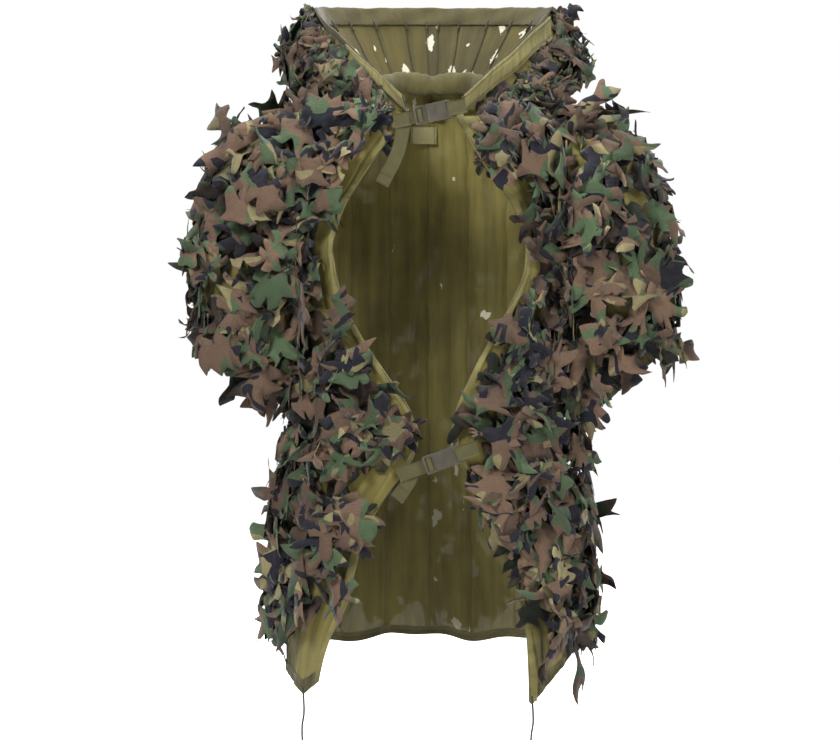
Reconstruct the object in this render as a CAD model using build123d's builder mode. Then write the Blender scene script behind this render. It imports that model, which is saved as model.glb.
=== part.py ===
from build123d import *
import math
import os

# Leaf ghillie cape with hood: a sheer base garment, a sewn leaf cover, two side-release buckles and
# corner cords. Millimetres. +Z is up and -Y is the front. Left and right are as seen from the front, so
# +X is right. The origin is under the middle of the garment, at the level of the corner cords' ends.

os.makedirs("parts", exist_ok=True)

# ---------------------------------------------------------------- driving dimensions
CLOTH = 1.5  # base cloth, as a solid thick enough to handle
COVER_GAP = 3  # between base cloth and leaf cover
COVER = 33  # thickness of the leaf cover
SEAM_GAP = 2  # clear space at a seam between two solids

# base garment sections: (height, half width, half depth, corner radius, rise towards the back in degrees)
TORSO = [
    (60, 214, 128, 110, 0),
    (340, 214, 126, 105, 0),
    (480, 192, 120, 80, 0),
    (740, 190, 114, 50, 0),
    (880, 190, 112, 50, 2),
    (935, 189, 108, 60, 8),
    (958, 165, 104, 80, 14),
    (975, 98, 97, 90, 20),
]
ARMHOLE_X = 190  # plane where a sleeve meets the body
HEM_Z = 152  # back hem
COVER_HEM_Z = 176  # lowest edge of the leaf cover
UNDERARM_COVER_Z = 455  # body cover runs round the sides only below this height
SPLIT_Z = 400  # the front skirts swing below this height

ARMHOLE = (96, 92, 80)  # half height, half depth and corner radius of the hole in the body's side
ARMHOLE_REACH = 50  # the hole is cut from this far inside the armhole plane

# front opening, right half: (x, z) of its edge, top to bottom
OPENING = [(36, 960), (84, 868), (143, 742), (104, 625), (24, 470)]
LOWER_OPENING = [(24, 470), (62, 395), (98, 318), (120, 245), (160, 150)]
BINDING = 14  # width of the edge binding
TAPE_PROUD = 1  # bindings and hems stand this far out on each side of the cloth
TAPE_GAP = 0.5  # between a tape and the edge of the cloth it covers
COVER_SETBACK = 12  # leaf cover stops this far from the binding
CORNER_TIPS = {"left": (-190, 92), "right": (142, 84)}
CORNER_BEND = {"left": 42, "right": 8}  # how far behind the front face each tip lies
CORNER_OUTER = 30  # the corner's half widths at the hem, away from and towards the opening
CORNER_INNER = 34
CORNER_OVERLAP = 8  # height of the corner's inner root above the hem
CORD_RADIUS = 1.5
CORD_GAP = 3  # from the corner's tip to the top of the cord
KNOT_RADIUS = 3
CORD_END_Z = 0

# sleeve sections: centre (x, z), outward in-plane direction (x, z), half height, half depth, corner radius
SLEEVE = [
    ((ARMHOLE_X + 1, 836), (0.0, 1.0), 102, 98, 85),
    ((240, 812), (0.40, 0.917), 114, 101, 85),
    ((264, 745), (0.66, 0.75), 108, 96, 80),
    ((292, 548), (0.745, 0.667), 66, 82, 55),
]
SLEEVE_COVER_Z = 470  # lowest point of the sleeve's leaf cover

# hood sections: (height, half width, half depth, middle's y)
HOOD = [(930, 66, 98, 0), (1006, 108, 95, 2), (1138, 196, 112, 14)]
HOOD_COVER = [(960, 190, 120, 6), (1012, 240, 138, 12), (1066, 242, 142, 14), (1138, 214, 130, 14)]
HOOD_COVER_Z = 1004  # the hood's leaf cover stays above this height over the sleeves
RIM = [(-96, 940), (-62, 1004), (-22, 1070), (30, 1116), (140, 1134)]  # rim seen from the side, as (y, z)
RIM_DOWN = (0.66, -0.88)  # direction (y, z) in which the rim's setback is measured
HOOD_LIFT = 5  # the hood's solids start this far above the neck seam
THROAT = 46  # half width of the gap between the hood's front ends
THROAT_COVER = 58  # the same for the hood's leaf cover
BRIM = 26  # width of the brim casing
BRIM_THICK = 2.5  # brim casing beyond each side of the hood's cloth
BRIM_WALL = 1.2  # cloth left round the drawcord's channel
BRIM_SEAM = 2  # closed strip along each edge of the channel
DRAWCORD_RADIUS = 1.3
DRAWCORD_SETBACK = 8

# 20 mm webbing and its side-release buckle
WEB_WIDTH = 20
WEB = 1.5
BUCKLE_WIDTH = 27
BUCKLE_DEPTH = 8
WALL = 2
FACE = 1.5  # front and back walls of the female half
ROUNDING = 2  # corners of the moulded halves and of folded webbing
WEB_ROOM = 1  # slots are this much wider than the webbing
FEMALE_LENGTH = 29
END_BAR = 3
SLOT_LENGTH = 4
FRAME_DEPTH = 5
FRAME_SHELF = 1  # front of the sunk bar, in front of the frame's middle
FRAME_BASE = 4  # solid base of the male half, next to the female half
BAR = 4  # width of the bar between the frame's slots
SPINE_WIDTH = 3
SPINE_FROM, SPINE_TO = -1, 19  # along the buckle
BLADE = 3  # thickness of the spine and prongs
PRONG = 1.8  # thickness of a prong's arm
PRONG_V = 8.2  # distance of a prong's arm from the buckle's middle
PRONG_LENGTH = 17.4
BARB = (10.8, 17.2)  # where the barb runs along the prong
BARB_TIP = BUCKLE_WIDTH / 2 + 0.8  # distance of the barb's thumb pad from the buckle's middle
BARB_RAMP = 1  # length of the barb's steep side
BARB_PAD = 4  # from the barb's start to the end of its thumb pad
PAD_FALL = 0.4
WINDOW = (10, 18.4)  # side window of the female half
RUN = 0.3  # running clearance inside the buckle
STRAP_CLEAR = 4  # space kept behind a buckle
STRAP_SIDE = 3  # and beside it
STRAP_END = 15  # and beyond each end of its straps
SLIP = 0.1  # play between the webbing and the parts it runs round
WRAP_END = 5  # the wrap's end behind the adjuster
TAIL_FOLD = 14  # length of the tail's folded end
NECK_BUCKLE = {"at": (-10, -126, 935), "tilt": 12, "strap": 48, "fixed": 22}
NECK_TAIL = {"tail": 95, "lean": 18}
WAIST_BUCKLE = {"at": (4, -150, 436), "tilt": 20, "strap": 58, "fixed": 26}
WAIST_TAIL = {"tail": 46, "lean": 30}

# neck fittings
ROLL_HALF_WIDTH, ROLL_HALF_HEIGHT = 6, 15
ROLL_INSET = 22
ROLL_START, ROLL_SWEEP = 15, 150  # degrees along the neck, from the right
LOOP_RADIUS, LOOP_TAPE, LOOP_WIDTH = 8, 1.2, 20
LOOP_AT = (0, 91, 970)
LABEL_AT, LABEL_SIZE = (-14, 104.5, 931), (40, 1, 27)

BIG = 2000


# ---------------------------------------------------------------- shared solids
def sin_of(degrees):
    """Sine of an angle in degrees."""
    return math.sin(math.radians(degrees))


def cos_of(degrees):
    """Cosine of an angle in degrees."""
    return math.cos(math.radians(degrees))


def torso(offset):
    """The garment's body as one filled solid, offset from the base cloth's outer face."""
    with BuildPart(mode=Mode.PRIVATE) as filled:
        for z, half_width, half_depth, radius, rise in TORSO:
            section = Plane(origin=(0, 0, z), x_dir=(1, 0, 0), z_dir=(0, -sin_of(rise), cos_of(rise)))
            with BuildSketch(section):
                RectangleRounded(2 * (half_width + offset), 2 * (half_depth + offset), radius + offset)
        loft(ruled=True)
    return filled.part


def sleeve(offset):
    """The right sleeve as one filled solid, offset from the base cloth's outer face."""
    with BuildPart(mode=Mode.PRIVATE) as filled:
        for (x, z), (out_x, out_z), half_height, half_depth, radius in SLEEVE:
            with BuildSketch(Plane(origin=(x, 0, z), x_dir=(out_x, 0, out_z), z_dir=(out_z, 0, -out_x))):
                RectangleRounded(2 * (half_height + offset), 2 * (half_depth + offset), radius + offset)
        loft(ruled=True)
    return filled.part


def hood(sections, offset):
    """A hood shape as one filled solid through its sections, offset outwards."""
    with BuildPart(mode=Mode.PRIVATE) as filled:
        for z, half_width, half_depth, y in sections:
            with BuildSketch(Plane.XY.offset(z)):
                with Locations((0, y)):
                    Ellipse(half_width + offset, half_depth + offset)
        loft(ruled=True)
    return filled.part


def side_profile(points):
    """A slab across the whole garment, drawn as (y, z) points in the side view."""
    with BuildPart(mode=Mode.PRIVATE) as slab:
        with BuildSketch(Plane.YZ):
            with BuildLine():
                Polyline(*points, close=True)
            make_face()
        extrude(amount=BIG, both=True)
    return slab.part


def front_profile(outline):
    """A prism from the garment's middle forwards, from a face drawn in the front view."""
    with BuildPart(mode=Mode.PRIVATE) as prism:
        with BuildSketch(Plane.XZ.offset(SEAM_GAP)):
            add(outline)
        extrude(amount=BIG)
    return prism.part


def opening_outline(widen):
    """The front opening seen from the front, widened by an amount on each side."""
    upper = [(x + widen, z) for x, z in OPENING]
    lower = [(x + widen, z) for x, z in LOWER_OPENING]
    with BuildSketch(mode=Mode.PRIVATE) as outline:
        with BuildLine():
            top = Line((0, upper[0][1]), upper[0])
            chest = Spline(*upper)
            skirt = Spline(*lower)
            drop = Line(skirt @ 1, (lower[-1][0], 0))
            Line(drop @ 1, (0, 0))
            Line((0, 0), top @ 0)
        make_face()
        mirror(about=Plane.YZ)
    return outline.sketch


def box(low, high):
    """A box between two corners."""
    size = [b - a for a, b in zip(low, high)]
    middle = [(a + b) / 2 for a, b in zip(low, high)]
    return Pos(*middle) * Box(*size, mode=Mode.PRIVATE)


def neck_z(y, lift):
    """Height of the neck seam's plane at depth y, raised by an amount."""
    return TORSO[-1][0] + y * sin_of(TORSO[-1][4]) / cos_of(TORSO[-1][4]) + lift


def strap_frame(at, tilt):
    """Plane of a buckle: x along the strap towards its fixed end, z towards the front."""
    return Plane(origin=at, x_dir=(cos_of(tilt), 0, sin_of(tilt)), z_dir=(0, -1, 0))


def strap_space(at, tilt, strap, fixed):
    """Clear space round a buckle and its straps, open to the front."""
    with BuildPart(mode=Mode.PRIVATE) as space:
        with BuildSketch(strap_frame(at, tilt).offset(-BUCKLE_DEPTH - STRAP_CLEAR)):
            with Locations(((fixed - strap + FEMALE_LENGTH) / 2, 0)):
                Rectangle(strap + fixed + FEMALE_LENGTH + 2 * STRAP_END, BUCKLE_WIDTH + 2 * STRAP_SIDE)
        extrude(amount=BIG)
    return space.part


def save(piece, name):
    """Labels a finished piece and writes its STEP file."""
    piece.label = name
    export_step(piece, f"parts/{name}.step")


ABOVE_NECK = side_profile([
    (-BIG, BIG),
    (-BIG, neck_z(-BIG, HOOD_LIFT)),
    (BIG, neck_z(BIG, HOOD_LIFT)),
    (BIG, BIG),
])

with BuildPart() as armholes:
    with BuildSketch(Plane.YZ.offset(ARMHOLE_X - ARMHOLE_REACH)):
        with Locations((0, SLEEVE[0][0][1])):
            RectangleRounded(2 * ARMHOLE[1], 2 * ARMHOLE[0], ARMHOLE[2])
    extrude(amount=BIG)
    mirror(about=Plane.YZ)

body_cloth = torso(0) - torso(-CLOTH) - armholes.part
body_cover = torso(COVER_GAP + COVER) - torso(COVER_GAP)
BACK_HALF = box((-BIG, SEAM_GAP, -BIG), (BIG, BIG, BIG))
cloth_opening = front_profile(opening_outline(BINDING + TAPE_GAP))
cover_opening = front_profile(opening_outline(BINDING + COVER_SETBACK))
bare_opening = front_profile(opening_outline(0))

# ---------------------------------------------------------------- back
HEM = 12  # width of the hem casing
with BuildPart() as back_panel:
    add(body_cloth)
    add(BACK_HALF, mode=Mode.INTERSECT)
    add(box((-BIG, -BIG, HEM_Z + HEM + TAPE_GAP), (BIG, BIG, BIG)), mode=Mode.INTERSECT)
save(back_panel.part, "back_panel")

with BuildPart() as back_hem_casing:
    add(torso(TAPE_PROUD) - torso(-CLOTH - TAPE_PROUD))
    add(box((-BIG, SEAM_GAP, HEM_Z), (BIG, BIG, HEM_Z + HEM)), mode=Mode.INTERSECT)
save(back_hem_casing.part, "back_hem_casing")

with BuildPart() as leaf_cover_back:
    add(body_cover)
    add(BACK_HALF, mode=Mode.INTERSECT)
    add(box((-BIG, -BIG, COVER_HEM_Z), (BIG, BIG, BIG)), mode=Mode.INTERSECT)
    for side in (-1, 1):
        inner, outer = sorted((side * (ARMHOLE_X - SEAM_GAP), side * BIG))
        add(box((inner, -BIG, UNDERARM_COVER_Z), (outer, BIG, BIG)), mode=Mode.SUBTRACT)
save(leaf_cover_back.part, "leaf_cover_back")


# ---------------------------------------------------------------- fronts, skirts and their edge bindings
def skirt_outline(tip, side):
    """Front view of one swinging skirt, with the pointed corner the cord hangs from."""
    edge = side * (TORSO[0][1] + COVER)
    with BuildSketch(mode=Mode.PRIVATE) as outline:
        with BuildLine():
            Polyline(
                (0, SPLIT_Z - SEAM_GAP / 2),
                (edge, SPLIT_Z - SEAM_GAP / 2),
                (edge, HEM_Z),
                (tip[0] + side * CORNER_OUTER, HEM_Z),
                tip,
                (tip[0] - side * CORNER_INNER, HEM_Z + CORNER_OVERLAP),
                (0, HEM_Z + CORNER_OVERLAP),
                close=True,
            )
        make_face()
    return outline.sketch


for side, name in ((-1, "left"), (1, "right")):
    low_x, high_x = sorted((0, side * BIG))
    half = box((low_x, -BIG, -BIG), (high_x, -SEAM_GAP, BIG))
    upper = box((low_x, -BIG, SPLIT_Z + SEAM_GAP / 2), (high_x, -SEAM_GAP, BIG))
    skirt_shape = front_profile(skirt_outline(CORNER_TIPS[name], side))
    thick_cloth = torso(TAPE_PROUD) - torso(-CLOTH - TAPE_PROUD)

    with BuildPart() as front_panel:
        add((body_cloth & upper) - cloth_opening)
    save(front_panel.part, f"front_panel_{name}")

    with BuildPart() as edge_binding:
        add((thick_cloth & upper) & front_profile(opening_outline(BINDING)))
        add(bare_opening, mode=Mode.SUBTRACT)
    save(edge_binding.part, f"edge_binding_{name}")

    with BuildPart() as skirt:
        add((body_cloth & half & skirt_shape) - cloth_opening)
    save(skirt.part, f"skirt_{name}")

    with BuildPart() as skirt_binding:
        add((thick_cloth & half & skirt_shape) & front_profile(opening_outline(BINDING)))
        add(bare_opening, mode=Mode.SUBTRACT)
    save(skirt_binding.part, f"skirt_binding_{name}")

    with BuildPart() as leaf_cover_front:
        add((body_cover & upper) - cover_opening - strap_space(**WAIST_BUCKLE))
        inner, outer = sorted((side * (ARMHOLE_X - SEAM_GAP), side * BIG))
        add(box((inner, -BIG, UNDERARM_COVER_Z), (outer, BIG, BIG)), mode=Mode.SUBTRACT)
    save(leaf_cover_front.part, f"leaf_cover_front_{name}")

    with BuildPart() as leaf_cover_skirt:
        add((body_cover & half) - cover_opening)
        add(box((low_x, -BIG, COVER_HEM_Z), (high_x, 0, SPLIT_Z - SEAM_GAP / 2)), mode=Mode.INTERSECT)
    save(leaf_cover_skirt.part, f"leaf_cover_skirt_{name}")

    tip_x, tip_z = CORNER_TIPS[name]
    cord_y = -TORSO[0][2] + CORNER_BEND[name]
    cord_top = tip_z - CORD_GAP
    with BuildPart() as corner_cord:
        with Locations((tip_x, cord_y, (cord_top + CORD_END_Z) / 2)):
            Cylinder(CORD_RADIUS, cord_top - CORD_END_Z)
        with Locations((tip_x, cord_y, CORD_END_Z + KNOT_RADIUS)):
            Sphere(KNOT_RADIUS)
    save(corner_cord.part, f"corner_cord_{name}")

# ---------------------------------------------------------------- sleeves
SLEEVE_HEM = 14
hem_centre, hem_out = SLEEVE[-1][:2]
hem_plane = Plane(origin=(hem_centre[0], 0, hem_centre[1]), x_dir=(hem_out[0], 0, hem_out[1]),
                  z_dir=(hem_out[1], 0, -hem_out[0]))


def past_hem(setback):
    """Everything beyond a plane set back from the sleeve's open end."""
    with BuildPart(mode=Mode.PRIVATE) as end:
        with BuildSketch(hem_plane.offset(-setback)):
            Rectangle(BIG, BIG)
        extrude(amount=BIG)
    return end.part


with BuildPart() as sleeve_right:
    add(sleeve(0) - sleeve(-CLOTH))
    add(past_hem(SLEEVE_HEM), mode=Mode.SUBTRACT)

with BuildPart() as sleeve_hem_right:
    add(sleeve(TAPE_PROUD) - sleeve(-CLOTH - TAPE_PROUD))
    add(past_hem(SLEEVE_HEM - TAPE_GAP), mode=Mode.INTERSECT)

with BuildPart() as leaf_cover_sleeve_right:
    add(sleeve(COVER_GAP + COVER) - sleeve(COVER_GAP))
    add(box((ARMHOLE_X + SEAM_GAP, -BIG, SLEEVE_COVER_Z), (BIG, BIG, BIG)), mode=Mode.INTERSECT)
    add(past_hem(SLEEVE_HEM), mode=Mode.SUBTRACT)

for piece, name in (
    (sleeve_right, "sleeve"),
    (sleeve_hem_right, "sleeve_hem"),
    (leaf_cover_sleeve_right, "leaf_cover_sleeve"),
):
    save(piece.part, f"{name}_right")
    save(mirror(piece.part, about=Plane.YZ), f"{name}_left")


# ---------------------------------------------------------------- hood
def behind_rim(setback):
    """Everything behind and below the rim, moved down by an amount."""
    points = [(y + setback * RIM_DOWN[0], z + setback * RIM_DOWN[1]) for y, z in RIM]
    with BuildPart(mode=Mode.PRIVATE) as slab:
        with BuildSketch(Plane.YZ):
            with BuildLine():
                curve = Spline(*points)
                Polyline(curve @ 1, (BIG, points[-1][1]), (BIG, 0), (points[0][0], 0), curve @ 0)
            make_face()
        extrude(amount=BIG, both=True)
    return slab.part


throat_gap = box((-THROAT, -BIG, -BIG), (THROAT, 0, BIG))
with BuildPart() as hood_shell:
    add(hood(HOOD, 0) - hood(HOOD, -CLOTH))
    add(ABOVE_NECK & behind_rim(BRIM + 1), mode=Mode.INTERSECT)
    add(throat_gap, mode=Mode.SUBTRACT)
save(hood_shell.part, "hood_shell")

# the brim: a flat casing round the rim, open at its two front ends, with the drawcord inside
with BuildPart() as hood_brim_casing:
    add(hood(HOOD, BRIM_THICK) - hood(HOOD, -CLOTH - BRIM_THICK))
    add(behind_rim(0) - behind_rim(BRIM), mode=Mode.INTERSECT)
    add(ABOVE_NECK, mode=Mode.INTERSECT)
    add(throat_gap, mode=Mode.SUBTRACT)
    channel = hood(HOOD, BRIM_THICK - BRIM_WALL) - hood(HOOD, -CLOTH - BRIM_THICK + BRIM_WALL)
    channel_strip = behind_rim(BRIM_SEAM) - behind_rim(2 * DRAWCORD_SETBACK - BRIM_SEAM)
    add(channel & channel_strip, mode=Mode.SUBTRACT)
save(hood_brim_casing.part, "hood_brim_casing")

with BuildPart() as hood_drawcord:
    add(hood(HOOD, DRAWCORD_RADIUS - CLOTH / 2) - hood(HOOD, -DRAWCORD_RADIUS - CLOTH / 2))
    cord_zone = behind_rim(DRAWCORD_SETBACK - DRAWCORD_RADIUS)
    cord_zone -= behind_rim(DRAWCORD_SETBACK + DRAWCORD_RADIUS)
    add(cord_zone & ABOVE_NECK, mode=Mode.INTERSECT)
    add(throat_gap, mode=Mode.SUBTRACT)
save(hood_drawcord.part, "hood_drawcord")

over_cover = torso(COVER_GAP + COVER + SEAM_GAP)
with BuildPart() as leaf_cover_hood:
    add(hood(HOOD_COVER, 0) - hood(HOOD, COVER_GAP))
    add(ABOVE_NECK & behind_rim(BRIM / 2), mode=Mode.INTERSECT)
    add(box((-BIG, RIM[0][0] + 2 * SEAM_GAP, -BIG), (BIG, BIG, BIG)), mode=Mode.INTERSECT)
    add(over_cover, mode=Mode.SUBTRACT)
    for side in (-1, 1):
        inner, outer = sorted((side * (ARMHOLE_X - SEAM_GAP), side * BIG))
        add(box((inner, -BIG, -BIG), (outer, BIG, HOOD_COVER_Z)), mode=Mode.SUBTRACT)
    add(box((-THROAT_COVER, -BIG, -BIG), (THROAT_COVER, 0, BIG)), mode=Mode.SUBTRACT)
save(leaf_cover_hood.part, "leaf_cover_hood")

# ---------------------------------------------------------------- neck: roll, hanger loop and label
rise = TORSO[-1][4]
slant = Plane(origin=(0, 0, neck_z(0, 0)), x_dir=(1, 0, 0), z_dir=(0, -sin_of(rise), cos_of(rise)))
with BuildLine(slant) as roll_path:
    across, deep = TORSO[-1][1] - ROLL_INSET, TORSO[-1][2] - ROLL_INSET
    EllipticalCenterArc((0, 0), across, deep, ROLL_START, arc_size=ROLL_SWEEP)
with BuildPart() as collar_roll:
    with BuildSketch(Plane(origin=roll_path.line @ 0, x_dir=slant.z_dir, z_dir=roll_path.line % 0)):
        Ellipse(ROLL_HALF_HEIGHT, ROLL_HALF_WIDTH)
    sweep(path=roll_path.line)
save(collar_roll.part, "collar_roll")

with BuildPart() as hanger_loop:
    with Locations(LOOP_AT):
        Cylinder(LOOP_RADIUS + LOOP_TAPE, LOOP_WIDTH, rotation=(0, 90, 0))
        Cylinder(LOOP_RADIUS, LOOP_WIDTH, rotation=(0, 90, 0), mode=Mode.SUBTRACT)
save(hanger_loop.part, "hanger_loop")

with BuildPart() as neck_label:
    with Locations(LABEL_AT):
        Box(*LABEL_SIZE)
save(neck_label.part, "neck_label")


# ---------------------------------------------------------------- buckles and webbing
def web_path(points, plane, tape=WEB, width=WEB_WIDTH):
    """A tape bent along (u, w) points, in a frame with u along the strap and w towards the front."""
    across = Plane(origin=plane.origin, x_dir=plane.x_dir, z_dir=-plane.y_dir)
    with BuildPart(mode=Mode.PRIVATE) as tape_part:
        with BuildSketch(across):
            with BuildLine():
                bend = Polyline(*points)
                offset(bend, amount=tape / 2, side=Side.BOTH)
            make_face()
        extrude(amount=width / 2, both=True)
    return tape_part.part


def buckle(prefix, at, tilt, strap, fixed, tail, lean):
    """One 20 mm side-release buckle with its webbing, joined at u = 0, with u towards the fixed end."""
    frame = strap_frame(at, tilt)
    slot_u = FEMALE_LENGTH + SLOT_LENGTH / 2
    end_u = FEMALE_LENGTH + SLOT_LENGTH + END_BAR

    with BuildPart(frame) as female:
        with BuildSketch(frame.offset(-BUCKLE_DEPTH / 2)):
            with Locations((end_u / 2, 0)):
                RectangleRounded(end_u, BUCKLE_WIDTH, ROUNDING)
        extrude(amount=BUCKLE_DEPTH)
        cavity = FEMALE_LENGTH - WALL
        with BuildSketch(frame.offset(-BUCKLE_DEPTH / 2 + FACE)):
            with Locations((cavity / 2, 0)):
                Rectangle(cavity, BUCKLE_WIDTH - 2 * WALL)
            with Locations(((WINDOW[0] + WINDOW[1]) / 2, 0)):
                Rectangle(WINDOW[1] - WINDOW[0], 2 * BUCKLE_WIDTH)
        extrude(amount=BUCKLE_DEPTH - 2 * FACE, mode=Mode.SUBTRACT)
        with BuildSketch(frame.offset(-BUCKLE_DEPTH)):
            with Locations((slot_u, 0)):
                Rectangle(SLOT_LENGTH, WEB_WIDTH + WEB_ROOM)
        extrude(amount=2 * BUCKLE_DEPTH, mode=Mode.SUBTRACT)
    save(female.part, f"{prefix}_buckle_female")

    bar_end = -(2 * END_BAR + 2 * SLOT_LENGTH + BAR)
    slots = [-FRAME_BASE - 1 - SLOT_LENGTH / 2, bar_end + END_BAR + SLOT_LENGTH / 2]
    with BuildPart(frame) as male:
        with BuildSketch(frame.offset(-FRAME_DEPTH / 2)):
            with Locations((bar_end / 2 - RUN / 2, 0)):
                RectangleRounded(-bar_end - RUN, BUCKLE_WIDTH, ROUNDING)
            with Locations(*[(u, 0) for u in slots]):
                Rectangle(SLOT_LENGTH, WEB_WIDTH + WEB_ROOM, mode=Mode.SUBTRACT)
        extrude(amount=FRAME_DEPTH)
        with BuildSketch(frame.offset(FRAME_SHELF)):
            with Locations((sum(slots) / 2, 0)):
                Rectangle(slots[0] - slots[1] + 1, WEB_WIDTH + WEB_ROOM)
        extrude(amount=FRAME_DEPTH, mode=Mode.SUBTRACT)
        with BuildSketch(frame.offset(-BLADE / 2)):
            with Locations(((SPINE_FROM + SPINE_TO) / 2, 0)):
                Rectangle(SPINE_TO - SPINE_FROM, SPINE_WIDTH)
        extrude(amount=BLADE)
    save(male.part, f"{prefix}_buckle_male")

    for v_side, name in ((1, "upper"), (-1, "lower")):
        with BuildPart(frame) as prong:
            with BuildSketch(frame.offset(-BLADE / 2)):
                with BuildLine():
                    inner, outer = PRONG_V - PRONG / 2, PRONG_V + PRONG / 2
                    Polyline(
                        (RUN, v_side * inner),
                        (RUN, v_side * outer),
                        (BARB[0], v_side * outer),
                        (BARB[0] + BARB_RAMP, v_side * BARB_TIP),
                        (BARB[0] + BARB_PAD, v_side * (BARB_TIP - PAD_FALL)),
                        (BARB[1], v_side * outer),
                        (PRONG_LENGTH, v_side * inner),
                        close=True,
                    )
                make_face()
            extrude(amount=BLADE)
        save(prong.part, f"{prefix}_buckle_prong_{name}")

    # load strap from the garment, behind the frame; the wrap over the bar rides on the male half
    behind = -FRAME_DEPTH / 2 - 2 * WEB - SLIP
    with BuildPart() as load_strap:
        add(web_path([(-strap, behind), (slots[0] - WEB, behind)], frame))
    save(load_strap.part, f"{prefix}_load_strap")

    front_w = FRAME_SHELF + WEB / 2 + 2 * SLIP
    lip = -FRAME_DEPTH / 2 - WEB / 2 - SLIP
    with BuildPart() as strap_wrap:
        over_bar = [(slots[0], lip), (slots[0], front_w), (slots[1], front_w), (slots[1], lip)]
        add(web_path(over_bar + [(bar_end - WRAP_END, lip)], frame))
    save(strap_wrap.part, f"{prefix}_strap_wrap")

    # the free tail hangs from the wrap, with its end folded over and stitched
    hang_from = (bar_end - WRAP_END - ROUNDING - WEB_WIDTH / 2, 0, behind - 2 * WEB)
    hang_along = (cos_of(lean), 0, -sin_of(lean))
    hang = Plane(origin=frame.from_local_coords(hang_from), x_dir=hang_along, z_dir=(0, -1, 0))
    with BuildPart(hang) as tail_strap:
        with BuildSketch(hang):
            with Locations((0, -tail / 2)):
                RectangleRounded(WEB_WIDTH, tail, ROUNDING)
        extrude(amount=-WEB)
        with BuildSketch(hang.offset(WEB / 3)):
            with Locations((0, -tail + TAIL_FOLD / 2)):
                RectangleRounded(WEB_WIDTH + 2, TAIL_FOLD, ROUNDING)
        extrude(amount=-WEB * 5 / 3)
    save(tail_strap.part, f"{prefix}_tail_strap")

    # the fixed strap loops round the female half's end bar and is sewn to the right front
    with BuildPart(frame) as fixed_strap:
        across = Plane(origin=frame.origin, x_dir=frame.x_dir, z_dir=-frame.y_dir)
        left_u, right_u = slot_u - WEB / 2, end_u + fixed
        for grow, mode in ((WEB, Mode.ADD), (0, Mode.SUBTRACT)):
            with BuildSketch(across):
                with Locations(((left_u + right_u) / 2, 0)):
                    loop_length = right_u - left_u - 2 * WEB + 2 * grow
                    Rectangle(loop_length, BUCKLE_DEPTH + 4 * SLIP + 2 * grow)
            extrude(amount=WEB_WIDTH / 2, both=True, mode=mode)
    save(fixed_strap.part, f"{prefix}_fixed_strap")


buckle("neck", **NECK_BUCKLE, **NECK_TAIL)
buckle("waist", **WAIST_BUCKLE, **WAIST_TAIL)
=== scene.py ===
"""Looks for the leaf ghillie cape: sheer cloth, sewn leaves, bindings, webbing and buckles round the CAD frame."""

import math

import bmesh
import bpy
import numpy as np
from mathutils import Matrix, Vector
from mathutils.geometry import delaunay_2d_cdt


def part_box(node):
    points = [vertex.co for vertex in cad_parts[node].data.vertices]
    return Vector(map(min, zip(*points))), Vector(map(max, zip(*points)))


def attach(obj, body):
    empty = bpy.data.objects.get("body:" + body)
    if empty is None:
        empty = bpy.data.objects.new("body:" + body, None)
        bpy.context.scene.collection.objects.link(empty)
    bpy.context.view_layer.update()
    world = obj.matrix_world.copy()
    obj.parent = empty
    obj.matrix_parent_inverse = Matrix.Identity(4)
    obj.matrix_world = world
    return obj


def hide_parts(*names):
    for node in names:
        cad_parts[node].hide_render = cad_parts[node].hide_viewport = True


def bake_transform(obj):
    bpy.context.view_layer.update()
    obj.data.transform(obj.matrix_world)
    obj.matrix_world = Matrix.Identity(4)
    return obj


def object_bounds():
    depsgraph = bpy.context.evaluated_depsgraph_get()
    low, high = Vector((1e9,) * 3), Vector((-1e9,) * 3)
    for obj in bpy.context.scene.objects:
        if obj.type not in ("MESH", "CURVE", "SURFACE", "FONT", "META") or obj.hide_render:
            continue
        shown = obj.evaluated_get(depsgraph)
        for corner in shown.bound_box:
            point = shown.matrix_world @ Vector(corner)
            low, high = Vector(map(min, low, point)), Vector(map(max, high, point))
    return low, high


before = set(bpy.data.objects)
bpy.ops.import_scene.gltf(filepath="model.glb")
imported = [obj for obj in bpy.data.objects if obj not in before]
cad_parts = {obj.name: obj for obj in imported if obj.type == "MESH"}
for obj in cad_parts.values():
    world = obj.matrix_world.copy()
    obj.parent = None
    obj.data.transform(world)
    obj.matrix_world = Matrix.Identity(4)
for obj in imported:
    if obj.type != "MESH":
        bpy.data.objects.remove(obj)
cad_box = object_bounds()

MM = 0.001
TURN = 2 * math.pi

# ---------------------------------------------------------------- shape of the garment, in millimetres
# base cloth sections: height, half width, half depth, squareness, rise towards the back in degrees
TORSO = np.array([
    (60, 216, 128, 2.5, 0),
    (250, 218, 128, 2.5, 0),
    (340, 214, 126, 2.6, 0),
    (480, 190, 120, 3.0, 0),
    (740, 190, 114, 3.4, 0),
    (880, 190, 112, 3.2, 2),
    (935, 184, 108, 2.7, 8),
    (958, 152, 104, 2.3, 14),
    (975, 98, 97, 2.0, 20),
])
NECK_RISE = math.radians(20)
NECK_Z = 975
HEM_Z = 152
LEAF_HEM_Z = 170
# edges of the front opening: height and x, from the neck to the corner tip
EDGE = {
    "left": np.array([(950, -42), (869, -92), (810, -129), (748, -150), (700, -142), (661, -130), (597, -94),
                      (514, -36), (470, -20), (440, -30), (395, -62), (367, -82), (332, -100), (223, -128),
                      (174, -158), (94, -190)]),
    "right": np.array([(950, 34), (871, 72), (815, 112), (757, 136), (705, 134), (631, 96), (585, 68),
                       (514, 34), (470, 26), (440, 36), (382, 66), (325, 100), (253, 118), (194, 137),
                       (84, 143)]),
}
CORNER = {"left": (-190, 94), "right": (142, 84)}
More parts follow.
